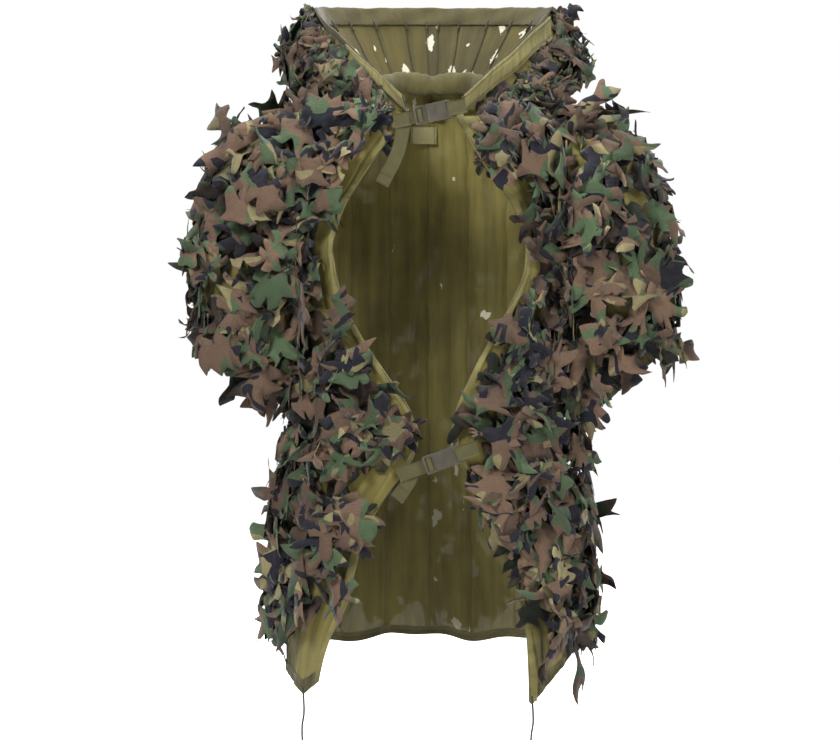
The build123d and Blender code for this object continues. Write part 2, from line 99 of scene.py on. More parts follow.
# sleeve sections: position along, centre x, centre z, out x, out z, half height, half depth
SLEEVE = np.array([
    (0.0, 191, 836, 0.0, 1.0, 102, 98),
    (0.2, 240, 812, 0.40, 0.917, 114, 101),
    (0.45, 264, 745, 0.66, 0.75, 108, 96),
    (1.0, 292, 548, 0.745, 0.667, 66, 82),
])
# hood sections: height, half width, half depth, middle's y
HOOD = np.array([(930, 66, 98, 0), (1006, 108, 95, 2), (1138, 196, 112, 14)])
# the hood's slack crown, lying outside the lining: height, half width, half depth, middle's y
CROWN = np.array([(955, 128, 96, 4), (985, 176, 106, 6), (1012, 204, 114, 8), (1066, 212, 120, 12),
                  (1138, 198, 113, 14)])
# the hood's rim seen from the side: y and height
RIM = np.array([(-96, 940), (-62, 1004), (-22, 1070), (30, 1116), (140, 1134)])
BRIM = 28  # depth of the brim casing
SIDES = (("left", -1), ("right", 1))
# joints whose cloth bends: the fixed body, the moving body, and where the bend starts and ends in metres
HOOD_JOINT = ("garment", "hood", (0, 0, 0.965), (0, -0.022, 1.025))
SKIRT_JOINT = {side: ("garment", f"skirt_{side}", (0, 0, 0.45), (0, 0, 0.35)) for side, _ in SIDES}
SLEEVE_JOINT = {side: ("garment", f"sleeve_{side}", (sign * 0.188, 0, 0), (sign * 0.262, 0, 0))
                for side, sign in SIDES}

# each buckle's middle, slope in degrees, lengths of its load strap, fixed strap and tail, the tail's lean and bow
BUCKLES = {
    "neck": {"at": (-10, -126, 935), "tilt": 12, "strap": 48, "fixed": 22, "tail": 95, "lean": 18, "sway": 9},
    "waist": {"at": (4, -150, 436), "tilt": 20, "strap": 58, "fixed": 26, "tail": 46, "lean": 30, "sway": 3},
}
WEB_WIDTH, WEB = 20.0, 1.5
BEHIND = -5.6  # how far behind the buckle's middle the load strap runs
LIP = 3.35  # webbing under the adjuster's bar
OVER = 1.95  # webbing over the adjuster's bar
SLOTS = (-7, -13)  # the adjuster's two slots along the buckle
TAIL_FOLD = 14


def soft(at, table, column, width=14):
    """A table's column read at a height and smoothed over a width."""
    order = np.argsort(table[:, 0])
    rows = table[order]
    steps = np.linspace(-width, width, 7)
    return np.mean([np.interp(at + d, rows[:, 0], rows[:, column]) for d in steps], axis=0)


def squircle(angle, power):
    """Unit superellipse point at an angle."""
    c, s = np.cos(angle), np.sin(angle)
    return np.sign(c) * np.abs(c) ** (2 / power), np.sign(s) * np.abs(s) ** (2 / power)


def torso(z, angle, out=0.0):
    """Points of the body cloth at section height z and an angle, 90 degrees at the back."""
    cx, cy = squircle(angle, soft(z, TORSO, 3))
    x = cx * (soft(z, TORSO, 1) + out)
    q = cy * (soft(z, TORSO, 2) + out)
    rise = np.radians(soft(z, TORSO, 4))
    return np.stack([x, q * np.cos(rise), z + q * np.sin(rise)], -1)


def even_turns(shape, level, start, end, share):
    """Angles that lie at shares of the distance along an outline, between a start and an end angle."""
    level, start, end, share = np.broadcast_arrays(*[np.asarray(v, float) for v in (level, start, end, share)])
    steps = np.linspace(0, 1, 90)
    turns = start[..., None] + (end - start)[..., None] * steps
    points = shape(level[..., None] + 0 * turns, turns)
    run = np.cumsum(np.linalg.norm(np.diff(points, axis=-2), axis=-1), axis=-1)
    run = np.concatenate([np.zeros(run.shape[:-1] + (1,)), run], -1) / run[..., -1:]
    flat = zip(share.reshape(-1), run.reshape(-1, 90), turns.reshape(-1, 90))
    return np.array([np.interp(s, r, t) for s, r, t in flat]).reshape(share.shape)


def edge_x(side, z):
    """Where the front opening's edge is at a height."""
    return soft(z, EDGE[side], 1, 12)


def front_angle(side, z, x):
    """Angle on the front of the body where its x is the one given."""
    share = np.clip(np.abs(x) / soft(z, TORSO, 1), 0, 1)
    lean = np.arccos(share ** (soft(z, TORSO, 3) / 2))
    return TURN - lean if side == "right" else math.pi + lean


def sleeve(along, angle, out=0.0):
    """Points of the right sleeve, angle 0 at its outer top and 180 degrees under the arm."""
    col = [soft(along, SLEEVE, k, 0.06) for k in range(1, 7)]
    cx, cy = squircle(angle, 2.5)
    up = cx * (col[4] + out)
    return np.stack([col[0] + col[2] * up, cy * (col[5] + out), col[1] + col[3] * up], -1)


def hood_ring(z, angle, out=0.0, table=HOOD):
    """Points of the hood cloth at a height and an angle, 90 degrees at the back."""
    half_width, half_depth, middle = (soft(z, table, k, 6) for k in (1, 2, 3))
    return np.stack([np.cos(angle) * (half_width + out), middle + np.sin(angle) * (half_depth + out), z], -1)


def crown_ring(z, angle, out=0.0):
    """Points of the hood's slack crown."""
    return hood_ring(z, angle, out, CROWN)


def hood_span(angle):
    """Heights of the neck seam and of the rim on each column of the hood."""
    z = np.linspace(930, 1145, 431)[:, None] + 0 * angle[None, :]
    y = hood_ring(z, angle[None, :] + 0 * z)[..., 1]
    low = z > NECK_Z + y * math.tan(NECK_RISE)
    under = z < np.interp(y, RIM[:, 0], RIM[:, 1])
    floor = np.where(low, z, 9999).min(0)
    top = np.where(under, z, 0).max(0)
    return floor, top


def folds(u, z, seed, depth, waves=(4, 7, 11, 17)):
    """Vertical cloth folds: u runs across the cloth, z is height in mm."""
    draw = np.random.default_rng(seed)
    total = np.zeros(np.broadcast(u, z).shape)
    for wave in waves:
        phase, drift, sway = draw.uniform(0, 6.28), draw.uniform(-1, 1), draw.uniform(0.5, 1.5)
        turn = 6.28 * wave * u + phase + drift * z / 210 + sway * np.sin(z / 170 + phase)
        crease = 1 - 2 * np.abs(np.sin(turn / 2)) ** 0.8
        fade = 0.6 + 0.4 * np.sin(z / draw.uniform(90, 240) + phase)
        total = total + fade * (0.45 * np.sin(turn) + 0.55 * crease) / wave ** 0.6
    return depth * total / 1.1


# ---------------------------------------------------------------- mesh helpers
def mesh_object(name, points, faces, smooth=None, uv=None, vectors=None):
    """An object from points in mm and equal-sided faces, with optional UV and print coordinates per point."""
    data = bpy.data.meshes.new(name)
    faces = np.asarray(faces, np.int32)
    sides = faces.shape[1]
    data.vertices.add(len(points))
    data.vertices.foreach_set("co", (np.asarray(points, np.float32) * MM).ravel())
    data.loops.add(faces.size)
    data.loops.foreach_set("vertex_index", faces.ravel())
    data.polygons.add(len(faces))
    data.polygons.foreach_set("loop_start", np.arange(0, faces.size, sides, dtype=np.int32))
    data.polygons.foreach_set("loop_total", np.full(len(faces), sides, np.int32))
    data.polygons.foreach_set("use_smooth", np.ones(len(faces), bool) if smooth is None else smooth)
    data.update(calc_edges=True)
    if uv is not None:
        layer = data.uv_layers.new(name="Cloth")
        layer.data.foreach_set("uv", (np.asarray(uv, np.float32)[faces.ravel()] * MM).ravel())
    if vectors is not None:
        attribute = data.attributes.new("camo", "FLOAT_VECTOR", "POINT")
        attribute.data.foreach_set("vector", np.asarray(vectors, np.float32).ravel())
    data.validate()
    made = bpy.data.objects.new(name, data)
    bpy.context.scene.collection.objects.link(made)
    return made


def grid_normals(grid):
    """Unit normals of a grid of points."""
    du = np.gradient(grid, axis=0)
    dv = np.gradient(grid, axis=1)
    normal = np.cross(du, dv)
    return normal / np.maximum(np.linalg.norm(normal, axis=-1, keepdims=True), 1e-9)


def arc_uv(grid):
    """Cloth coordinates of a grid in mm: distance along each direction."""
    du = np.linalg.norm(np.diff(grid, axis=0), axis=-1).mean(1)
    dv = np.linalg.norm(np.diff(grid, axis=1), axis=-1).mean(0)
    u = np.concatenate([[0], np.cumsum(du)])
    v = np.concatenate([[0], np.cumsum(dv)])
    return np.stack(np.meshgrid(u - u[-1] / 2, v, indexing="ij"), -1)


def sheet(name, grid, thick=0.9, loop=False, uv=None):
    """A closed thin shell made from a grid of points; loop joins its first and last rows."""
    rows, cols = grid.shape[:2]
    if uv is None:
        uv = arc_uv(grid)
    normal = grid_normals(grid)
    if loop:
        both = (normal[0] + normal[-1]) / 2
        normal[0], normal[-1] = both, both
    front = (grid + normal * thick / 2).reshape(-1, 3)
    back = (grid - normal * thick / 2).reshape(-1, 3)
    index = np.arange(rows * cols).reshape(rows, cols)
    a, b = index[:-1, :-1].ravel(), index[1:, :-1].ravel()
    c, d = index[1:, 1:].ravel(), index[:-1, 1:].ravel()
    count = rows * cols
    top = np.stack([a, b, c, d], 1)
    faces = [top, top[:, ::-1] + count]
    rims = [index[:, 0][::-1], index[:, -1]]
    if not loop:
        rims += [index[0], index[-1][::-1]]
    flat = []
    for rim in rims:
        flat.append(np.stack([rim[:-1], rim[1:], rim[1:] + count, rim[:-1] + count], 1)[:, ::-1])
    smooth = np.concatenate([np.ones(2 * len(top), bool), np.zeros(sum(len(f) for f in flat), bool)])
    faces = np.concatenate(faces + flat)
    both_uv = np.concatenate([uv.reshape(-1, 2)] * 2)
    return mesh_object(name, np.concatenate([front, back]), faces, smooth, both_uv)


def tube(name, path, radius_a, radius_b, sides=12, up=(0, 0, 1), power=2.0):
    """A closed tube of elliptic section along a path: radius_a across, radius_b along the up direction."""
    path = np.asarray(path, float)
    tangent = np.gradient(path, axis=0)
    tangent /= np.linalg.norm(tangent, axis=1, keepdims=True)
    up = np.broadcast_to(np.asarray(up, float), path.shape)
    across = np.cross(tangent, up)
    across /= np.linalg.norm(across, axis=1, keepdims=True)
    lift = np.cross(across, tangent)
    angle = np.linspace(0, TURN, sides, endpoint=False)
    cx, cy = squircle(angle, power)
    radius_a = np.broadcast_to(radius_a, len(path))[:, None, None]
    radius_b = np.broadcast_to(radius_b, len(path))[:, None, None]
    ring = path[:, None] + across[:, None] * cx[None, :, None] * radius_a
    ring = ring + lift[:, None] * cy[None, :, None] * radius_b
    n = len(path)
    index = np.arange(n * sides).reshape(n, sides)
    nxt = np.roll(index, -1, axis=1)
    quads = np.stack([index[:-1].ravel(), nxt[:-1].ravel(), nxt[1:].ravel(), index[1:].ravel()], 1)
    points = np.concatenate([ring.reshape(-1, 3), path[:1], path[-1:]])
    length = np.concatenate([[0], np.cumsum(np.linalg.norm(np.diff(path, axis=0), axis=1))])
    around = angle * float(np.mean(radius_a + radius_b)) / 2
    uv = np.stack(np.broadcast_arrays(around[None, :], length[:, None]), -1).reshape(-1, 2)
    uv = np.concatenate([uv, [(0, 0), (0, length[-1])]])
    made = mesh_object(name, points, quads, uv=uv)
    bm = bmesh.new()
    bm.from_mesh(made.data)
    bm.verts.ensure_lookup_table()
    for first, second, centre in ((nxt[0], index[0], n * sides), (index[-1], nxt[-1], n * sides + 1)):
        for one, two in zip(first, second):
            bm.faces.new([bm.verts[int(one)], bm.verts[int(two)], bm.verts[centre]])
    bmesh.ops.recalc_face_normals(bm, faces=bm.faces)
    for face in bm.faces:
        face.smooth = True
    bm.to_mesh(made.data)
    bm.free()
    return made


def finish_piece(made, material, body=None, nodes=()):
    """Gives a piece its material, parents it to the body it rides on or, when it spans a joint, bakes its place into
    its mesh, and hides the CAD nodes it stands for."""
    made.data.materials.clear()
    made.data.materials.append(material)
    if isinstance(body, str):
        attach(made, body)
    if nodes:
        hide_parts(*nodes)
    if isinstance(body, tuple):
        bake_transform(made)


# ---------------------------------------------------------------- materials
def srgb(red, green, blue):
    """Linear colour from 0-255 sRGB values."""
    def one(v):
        v /= 255
        return v / 12.92 if v <= 0.04045 else ((v + 0.055) / 1.055) ** 2.4
    return (one(red), one(green), one(blue), 1.0)


class Nodes:
    """Short way to write a node material."""

    def __init__(self, name):
        self.material = bpy.data.materials.new(name)
        self.material.use_nodes = True
        self.tree = self.material.node_tree
        self.tree.nodes.clear()

    def add(self, kind, inputs=(), **settings):
        node = self.tree.nodes.new(kind)
        for key, value in settings.items():
            setattr(node, key, value)
        for key, value in dict(inputs).items():
            socket = node.inputs[key]
            if isinstance(value, bpy.types.NodeSocket):
                self.tree.links.new(value, socket)
            else:
                socket.default_value = value
        return node

    def math(self, operation, one, two=0.0, three=0.0):
        return self.add("ShaderNodeMath", {0: one, 1: two, 2: three}, operation=operation).outputs[0]

    def mix(self, share, one, two, blend="MIX"):
        node = self.add("ShaderNodeMix", {0: share, 6: one, 7: two}, data_type="RGBA", blend_type=blend)
        return node.outputs[2]

    def noise(self, vector, scale, detail=2.0, rough=0.5, distortion=0.0):
        inputs = {"Vector": vector, "Scale": scale, "Detail": detail, "Roughness": rough, "Distortion": distortion}
        return self.add("ShaderNodeTexNoise", inputs).outputs[0]

    def step(self, value, low, high, to_low=0.0, to_high=1.0):
        inputs = {"Value": value, "From Min": low, "From Max": high, "To Min": to_low, "To Max": to_high}
        return self.add("ShaderNodeMapRange", inputs, interpolation_type="SMOOTHSTEP").outputs[0]

    def scaled(self, vector, x, y, z):
        return self.add("ShaderNodeMapping", {"Vector": vector, "Scale": (x, y, z)}).outputs[0]

    def bump(self, height, distance, strength=1.0, normal=None):
        inputs = {"Height": height, "Distance": distance, "Strength": strength}
        if normal is not None:
            inputs["Normal"] = normal
        return self.add("ShaderNodeBump", inputs).outputs[0]

    def times(self, one, two):
        return self.math("MULTIPLY", one, two)

    def plus(self, one, two):
        return self.math("ADD", one, two)

    def grey(self, value):
        return self.add("ShaderNodeCombineColor", {0: value, 1: value, 2: value}).outputs[0]

    def dashes(self, along, pitch, low, high):
        """Stitches along a line: 0 in the gaps and 1 on the thread."""
        return self.step(self.math("PINGPONG", self.plus(along, 5.0), pitch), low, high)

    def cloth_uv(self):
        """Cloth coordinates in metres: both, across and along."""
        uv = self.add("ShaderNodeUVMap", uv_map="Cloth").outputs[0]
        split = self.add("ShaderNodeSeparateXYZ", {"Vector": uv}).outputs
        return uv, split[0], split[1]

    def principled(self, colour, rough, normal, specular=0.3, sheen=0.0, **more):
        inputs = {"Base Color": colour, "Roughness": rough, "Normal": normal, "Sheen Weight": sheen,
                  "Specular IOR Level": specular}
        return self.add("ShaderNodeBsdfPrincipled", {**inputs, **more}).outputs[0]

    def thin(self, share, surface, colour, normal):
        """Lets a share of the light through cloth."""
        through = self.add("ShaderNodeBsdfTranslucent", {"Color": colour, "Normal": normal}).outputs[0]
        return self.add("ShaderNodeMixShader", {0: share, 1: surface, 2: through}).outputs[0]

    def output(self, shader):
        self.add("ShaderNodeOutputMaterial", {"Surface": shader})
        return self.material


def weave(nodes, vector, pitch):
    """Height of a plain weave with a thread pitch in metres."""
    split = nodes.add("ShaderNodeSeparateXYZ", {"Vector": vector}).outputs
    warp, weft = (nodes.math("SINE", nodes.times(split[k], math.pi / pitch)) for k in (0, 1))
    return nodes.times(warp, weft)


def leaf_material():
    """Four-colour woodland print on light cloth; each leaf has its own tone, partly painted shade for leaves at
    different depths, and painted shade darkens it towards the base cloth.
    """
    n = Nodes("leaf_print")
    cloth = n.add("ShaderNodeAttribute", attribute_name="camo").outputs["Vector"]
    depth = n.add("ShaderNodeAttribute", attribute_name="depth").outputs["Fac"]
    colour = srgb(101, 80, 64)
    # inks over the brown: stretch of the cloth, noise scale, detail, roughness, distortion, edge of the patches
    for stretch, scale, detail, rough, warp, low, high, ink in (
            ((1.0, 0.75, 1), 13, 2.0, 0.45, 0.7, 0.522, 0.528, srgb(70, 87, 60)),
            ((1.0, 0.8, 3), 16, 1.5, 0.5, 0.8, 0.62, 0.627, srgb(128, 119, 84)),
            ((0.9, 1.2, 7), 15, 2.0, 0.5, 1.0, 0.568, 0.575, srgb(22, 22, 33))):
        patch = n.noise(n.scaled(cloth, *stretch), scale, detail, rough, warp)
        colour = n.mix(n.step(patch, low, high), colour, ink)
    # a random tone for each leaf, partly painted shade: it stands in for leaves lying at different depths
    leaf_number = n.scaled(cloth, 0, 0, 1)
    own_tone = n.add("ShaderNodeTexWhiteNoise", {"Vector": leaf_number}, noise_dimensions="3D").outputs[0]
    shade = n.math("MULTIPLY_ADD", own_tone, 0.78, 0.4)
    # painted shade: leaves darken the nearer they lie to the base cloth, for the shade between the layers
    shade = n.times(shade, n.step(depth, 0.06, 0.6, 0.16, 1.1))
    mottle = n.step(n.noise(cloth, 420, 3, 0.6), 0.3, 0.7, 0.88, 1.1)
    colour = n.mix(1.0, colour, n.grey(n.times(shade, mottle)), "MULTIPLY")
    crease = n.noise(cloth, 60, 3, 0.55, 0.6)
    normal = n.bump(weave(n, cloth, 0.0011), 0.00012, 0.5)
    normal = n.bump(crease, 0.004, 0.7, normal)
    rough = n.step(crease, 0.3, 0.7, 0.7, 0.9)
    surface = n.principled(colour, rough, normal, 0.25, 0.15, **{"Sheen Roughness": 0.5})
    return n.output(n.thin(0.1, surface, colour, normal))


def light_patches(n, uv, across, up, colour, lit, pitch, low_column):
    """Painted light: bright patches where light comes through between the leaves behind the cloth, a share of cells
    at a pitch, and with low_column more of them low down along the middle, fainter, on cloth that is painted darker
    low down and lighter towards the top."""
    bent = n.add("ShaderNodeTexNoise", {"Vector": uv, "Scale": 55, "Detail": 3}).outputs["Color"]
    moved = n.add("ShaderNodeVectorMath", {0: bent, 1: (0.03, 0.03, 0)}, operation="MULTIPLY").outputs[0]
    moved = n.add("ShaderNodeVectorMath", {0: moved, 1: n.scaled(uv, 1.2, 0.85, 1)}, operation="ADD").outputs[0]
    cells = n.add("ShaderNodeTexVoronoi", {"Vector": moved, "Scale": pitch}, distance="MANHATTAN").outputs
    chance = n.add("ShaderNodeSeparateColor", {0: cells["Color"]}).outputs[0]
    low = n.step(up, 0.3, 0.42, 1.0, 0.0)
    middle = n.step(n.math("ABSOLUTE", n.math("SUBTRACT", across, 0.02)), 0.02, 0.04, 1.0, 0.0)
    chance = n.plus(chance, n.times(n.times(low, middle), low_column))
    patch = n.times(n.step(chance, 1 - lit, 1.001 - lit), n.step(cells["Distance"], 0.36, 0.42, 1.0, 0.0))
    bright = n.math("MULTIPLY_ADD", low, -0.55 * (low_column > 0), 0.88)
    if low_column:
        # painted light: the cloth is painted darker low down and lighter towards the top
        colour = n.mix(1.0, colour, n.grey(n.step(up, 0.42, 0.76, 0.88, 1.4)), "MULTIPLY")
    # painted light: the patches are painted in near white
    return n.mix(n.times(patch, bright), colour, srgb(232, 228, 208))


def cloth_material(name, base, dark, sheer, seam_pitch=0.0, lit=0.0, lit_pitch=24, low_column=0.0):
    """Thin olive cloth with a fine weave, vertical streaks, sewing lines at a pitch, a share of see-through and
    bright patches where light comes through between the leaves behind it."""
    n = Nodes(name)
    uv, across, up = n.cloth_uv()
    streak = n.noise(n.scaled(uv, 1, 0.08, 1), 45, 4, 0.6)
    share = n.plus(n.times(streak, 0.6), n.times(n.noise(uv, 9, 3, 0.6), 0.4))
    colour = n.mix(n.step(share, 0.36, 0.62), dark, base)
    normal = n.bump(weave(n, uv, 0.0009), 0.0001, 0.5)
    normal = n.bump(n.noise(n.scaled(uv, 1, 0.2, 1), 70, 3, 0.6), 0.003, 0.45, normal)
    if lit:
        colour = light_patches(n, uv, across, up, colour, lit, lit_pitch, low_column)
    facing = n.add("ShaderNodeLayerWeight", {"Blend": 0.35}).outputs["Facing"]
    clear = n.times(n.math("SUBTRACT", 1.0, facing), sheer)
    if seam_pitch:
        half = seam_pitch / 2
        wander = n.times(n.noise(n.scaled(uv, 2, 6, 1), 3), 0.012)
        nearest = n.math("PINGPONG", n.plus(n.plus(across, wander), half + 10 * seam_pitch), half)
        away = n.math("SUBTRACT", half, nearest)
        line = n.step(away, 0.0006, 0.0016, 1.0, 0.0)
        thread = n.times(line, n.math("MULTIPLY_ADD", n.dashes(up, 0.0016, 0.0003, 0.0006), 0.4, 0.6))
        colour = n.mix(n.times(thread, 0.45), colour, srgb(52, 48, 24))
        normal = n.bump(n.step(away, 0.0, 0.006, 0.0, 1.0), 0.0015, 0.6, normal)
        clear = n.times(clear, n.math("SUBTRACT", 1.0, line))
    shader = n.thin(0.22, n.principled(colour, 0.62, normal, sheen=0.3), colour, normal)
    hole = n.add("ShaderNodeBsdfTransparent").outputs[0]
    return n.output(n.add("ShaderNodeMixShader", {0: clear, 1: shader, 2: hole}).outputs[0])


def tape_material(name, base, dark, stitch_at=()):
    """Woven tape or casing: fine ribs, two-tone weave and rows of stitches at distances across it in metres."""
    n = Nodes(name)
    uv, across, up = n.cloth_uv()
    colour = n.mix(n.step(n.noise(uv, 30, 4, 0.6), 0.3, 0.7), dark, base)
    threads = weave(n, uv, 0.0012)
    colour = n.mix(n.step(threads, -0.4, 0.6, 0.0, 0.25), colour, dark)
    normal = n.bump(threads, 0.00015, 0.6)
    normal = n.bump(n.noise(uv, 120, 3, 0.6, 0.5), 0.0018, 0.5, normal)
    for at in stitch_at:
        away = n.math("ABSOLUTE", n.math("SUBTRACT", across, at))
        line = n.step(away, 0.0004, 0.0009, 1.0, 0.0)
        stitch = n.times(line, n.dashes(up, 0.0017, 0.0003, 0.0007))
        colour = n.mix(n.times(stitch, 0.85), colour, srgb(58, 54, 28))
        normal = n.bump(n.step(away, 0.0, 0.003), 0.0009, 0.7, normal)
    return n.output(n.principled(colour, 0.7, normal, sheen=0.25))


def webbing_material():
    """Heavy webbing with ribs across it and a herringbone along its middle."""
    n = Nodes("webbing_weave")
    uv, across, up = n.cloth_uv()
    rib = n.math("SINE", n.times(up, TURN / 0.0016))
    slant = n.plus(up, n.math("PINGPONG", n.plus(across, 1.0), 0.0025))
    herring = n.math("SINE", n.times(slant, TURN / 0.0022))
    height = n.plus(n.times(rib, 0.4), n.times(herring, 0.6))
    # painted shade: the weave is painted darker in its grooves
    colour = n.mix(n.step(height, -0.6, 0.6), srgb(56, 53, 27), srgb(88, 83, 48))
    colour = n.mix(n.step(n.noise(uv, 60, 3), 0.45, 0.75, 0.0, 0.4), colour, srgb(100, 94, 58))
    return n.output(n.principled(colour, 0.75, n.bump(height, 0.0004, 0.7), sheen=0.2))


def plastic_material():
    """Moulded plastic with a fine grain and lighter worn edges."""
    n = Nodes("moulded_plastic")
    place = n.add("ShaderNodeTexCoord").outputs["Object"]
    cloud = n.noise(place, 90, 3, 0.5)
    colour = n.mix(n.step(cloud, 0.35, 0.7), srgb(48, 45, 35), srgb(59, 54, 44))
    edge = n.add("ShaderNodeNewGeometry").outputs["Pointiness"]
    colour = n.mix(n.step(edge, 0.52, 0.62, 0.0, 0.35), colour, srgb(104, 98, 85))
    normal = n.bump(n.noise(place, 1500, 3, 0.6), 0.0001, 0.35)
    return n.output(n.principled(colour, n.step(cloud, 0.3, 0.7, 0.38, 0.52), normal, 0.45))


def cord_material():
    """Braided cord: two sets of strands that cross."""
    n = Nodes("braided_cord")
    _, across, up = n.cloth_uv()
    strands = [n.math("SINE", n.times(n.math(way, across, up), TURN / 0.002)) for way in ("ADD", "SUBTRACT")]
    height = n.math("MAXIMUM", *strands)
    # painted shade: the cord is painted darker between its strands
    colour = n.mix(n.step(height, 0.0, 1.0), srgb(30, 28, 20), srgb(66, 60, 44))
    return n.output(n.principled(colour, 0.7, n.bump(height, 0.0003, 0.8), 0.5))


OLIVE, OLIVE_DARK = srgb(138, 128, 66), srgb(106, 97, 45)
LEAF = leaf_material()
CLOTH = cloth_material("sheer_cloth", OLIVE, OLIVE_DARK, 0.1, seam_pitch=0.062)
# the back cloth carries painted light: a few bright patches, and it is painted darker low down and lighter towards
# the top
BACK_CLOTH = cloth_material("back_cloth", srgb(126, 116, 58), srgb(96, 88, 40), 0.12, seam_pitch=0.062, lit=0.035,
                            lit_pitch=34, low_column=0.4)
# the hood cloth carries many painted bright patches of light
HOOD_CLOTH = cloth_material("hood_cloth", srgb(98, 88, 42), srgb(68, 61, 28), 0.08, lit=0.68, lit_pitch=33)
CROWN_CLOTH = cloth_material("crown_cloth", OLIVE, OLIVE_DARK, 0.2)
SLEEVE_CLOTH = cloth_material("sleeve_cloth", OLIVE, OLIVE_DARK, 0.16, seam_pitch=0.06)
CASING = tape_material("casing", srgb(79, 72, 34), srgb(60, 54, 24), stitch_at=(-0.0115, 0.0105, 0.0125))
BINDING = tape_material("binding", srgb(126, 118, 68), srgb(96, 89, 47), stitch_at=(0.0,))
CASING_FRONT = tape_material("casing_front", srgb(134, 126, 74), srgb(104, 97, 52), stitch_at=(-0.006, 0.006, 0.008))
# painted shade: the hems are painted darker, for the shadow on their inner side
HEM = tape_material("hem", srgb(84, 78, 40), srgb(66, 61, 30), stitch_at=(0.0,))
ROLL = tape_material("collar_cloth", srgb(92, 85, 44), srgb(72, 66, 32), stitch_at=())
# painted light: the label is painted lighter, to make up for the shade it lies in
LABEL = tape_material("label_cloth", srgb(146, 137, 94), srgb(132, 124, 84), stitch_at=(-0.0175, 0.0175))
WEBBING = webbing_material()
PLASTIC = plastic_material()
CORD = cord_material()
THREAD = tape_material("sewing_thread", srgb(62, 58, 30), srgb(44, 41, 20))

# ---------------------------------------------------------------- back panel and its hem
SIDE_GAP = 0.012


def back_grid(z, columns):
    """Back cloth points over the given heights, from the left side seam round to the right one, in folds whose lower
    edge rises and falls."""
    u = np.linspace(0, 1, columns)[:, None] + 0 * z[None, :]
    height = z[None, :] + 0 * u
    angle = even_turns(torso, height, math.pi * (1 - SIDE_GAP), math.pi * SIDE_GAP, u)
    out = folds(u, height, 11, 1) * np.interp(height, (150, 500, 900, 980), (9, 6, 4, 0.5))
    grid = torso(height, angle, out)
    low = np.clip((HEM_Z + 90 - height) / 90, 0, 1)
    grid[..., 2] += low * 5 * (np.sin(6.28 * 2.5 * u + 1.0) + 0.5 * np.sin(6.28 * 6 * u + 0.4))
    return grid


z_back = np.concatenate([np.linspace(HEM_Z, 930, 170), np.linspace(934, NECK_Z, 16)])
back = sheet("back_cloth", back_grid(z_back, 181))
finish_piece(back, BACK_CLOTH, "garment", ("back_panel",))
hem = sheet("back_hem", back_grid(np.linspace(HEM_Z - 1, HEM_Z + 12, 6), 241).transpose(1, 0, 2), 2.6)
finish_piece(hem, HEM, "garment", ("back_hem_casing",))


# ---------------------------------------------------------------- fronts with their skirts
def front_grid(side, sign, z, columns):
    """Front cloth points from the opening's edge to the side seam, with the skirt's lower front corner pulled down
    to its pointed tip."""
    share = np.linspace(0, 1, columns)[:, None] + 0 * z[None, :]
    height = z[None, :] + 0 * share
    start = front_angle(side, height, edge_x(side, height))
    end = TURN * (1 - SIDE_GAP / 2) if side == "right" else math.pi * (1 + SIDE_GAP)
    angle = even_turns(torso, height, start, end + 0 * start, share)
    out = folds(share, height, 21 + sign, 1, (2, 4, 7)) * np.interp(height, (150, 500, 900, 960), (8, 6, 5, 0.5))
    points = torso(height, angle, out * np.clip(share * 5, 0.15, 1))
    tip_x, tip_z = CORNER[side]
    low = np.clip((HEM_Z + 70 - height) / 70, 0, 1)
    near = np.clip(1 - np.abs(points[..., 0] - tip_x) / 62, 0, 1)
    points[..., 2] -= low ** 1.5 * near * (HEM_Z - tip_z)
    return points


for side, sign in SIDES:
    z_front = np.concatenate([np.linspace(HEM_Z, 925, 160), np.linspace(929, 962, 12)])
    grid = front_grid(side, sign, z_front, 70)
    cloth = sheet(f"front_cloth_{side}", grid[::-sign])
    finish_piece(cloth, CLOTH, SKIRT_JOINT[side], (f"front_panel_{side}", f"skirt_{side}"))
    hem_grid = front_grid(side, sign, np.linspace(HEM_Z - 1, HEM_Z + 9, 5), 120)
    front_hem = sheet(f"front_hem_{side}", hem_grid.transpose(1, 0, 2)[::sign], 2.4)
    finish_piece(front_hem, HEM, f"skirt_{side}")

    # the binding: a soft band over the edge that widens, twists and sways along its length
    edge, inner = grid[0], grid[4]
    away = inner - edge
    away /= np.linalg.norm(away, axis=1, keepdims=True)
    along = np.gradient(edge, axis=0)
    along /= np.linalg.norm(along, axis=1, keepdims=True)
    face = np.cross(along, away)
    face *= -np.sign(face[:, 1:2])
    run = np.concatenate([[0], np.cumsum(np.linalg.norm(np.diff(edge, axis=0), axis=1))])
    half = 5.2 + 0.9 * np.sin(run / 23) + 0.7 * np.sin(run / 61 + sign)
    twist = 0.35 * np.sin(run / 47 + sign) + 0.2 * np.sin(run / 19) + 0.25
    sway = 1.6 * np.sin(run / 29 + 1) + 1.2 * np.sin(run / 71)
    rings = []
    for t in np.linspace(0, TURN, 21):
        cx, cy = squircle(np.array([t]), 2.6)
        wide, deep = half * cx[0], 1.9 * cy[0]
        shift = half + wide * np.cos(twist) - deep * np.sin(twist) - 1.5
        lift = wide * np.sin(twist) + deep * np.cos(twist) + sway
        rings.append(edge + away * shift[:, None] + face * lift[:, None])
    band = sheet(f"edge_binding_{side}", np.stack(rings)[::sign], 0.6)
    finish_piece(band, BINDING, SKIRT_JOINT[side], (f"edge_binding_{side}", f"skirt_binding_{side}"))


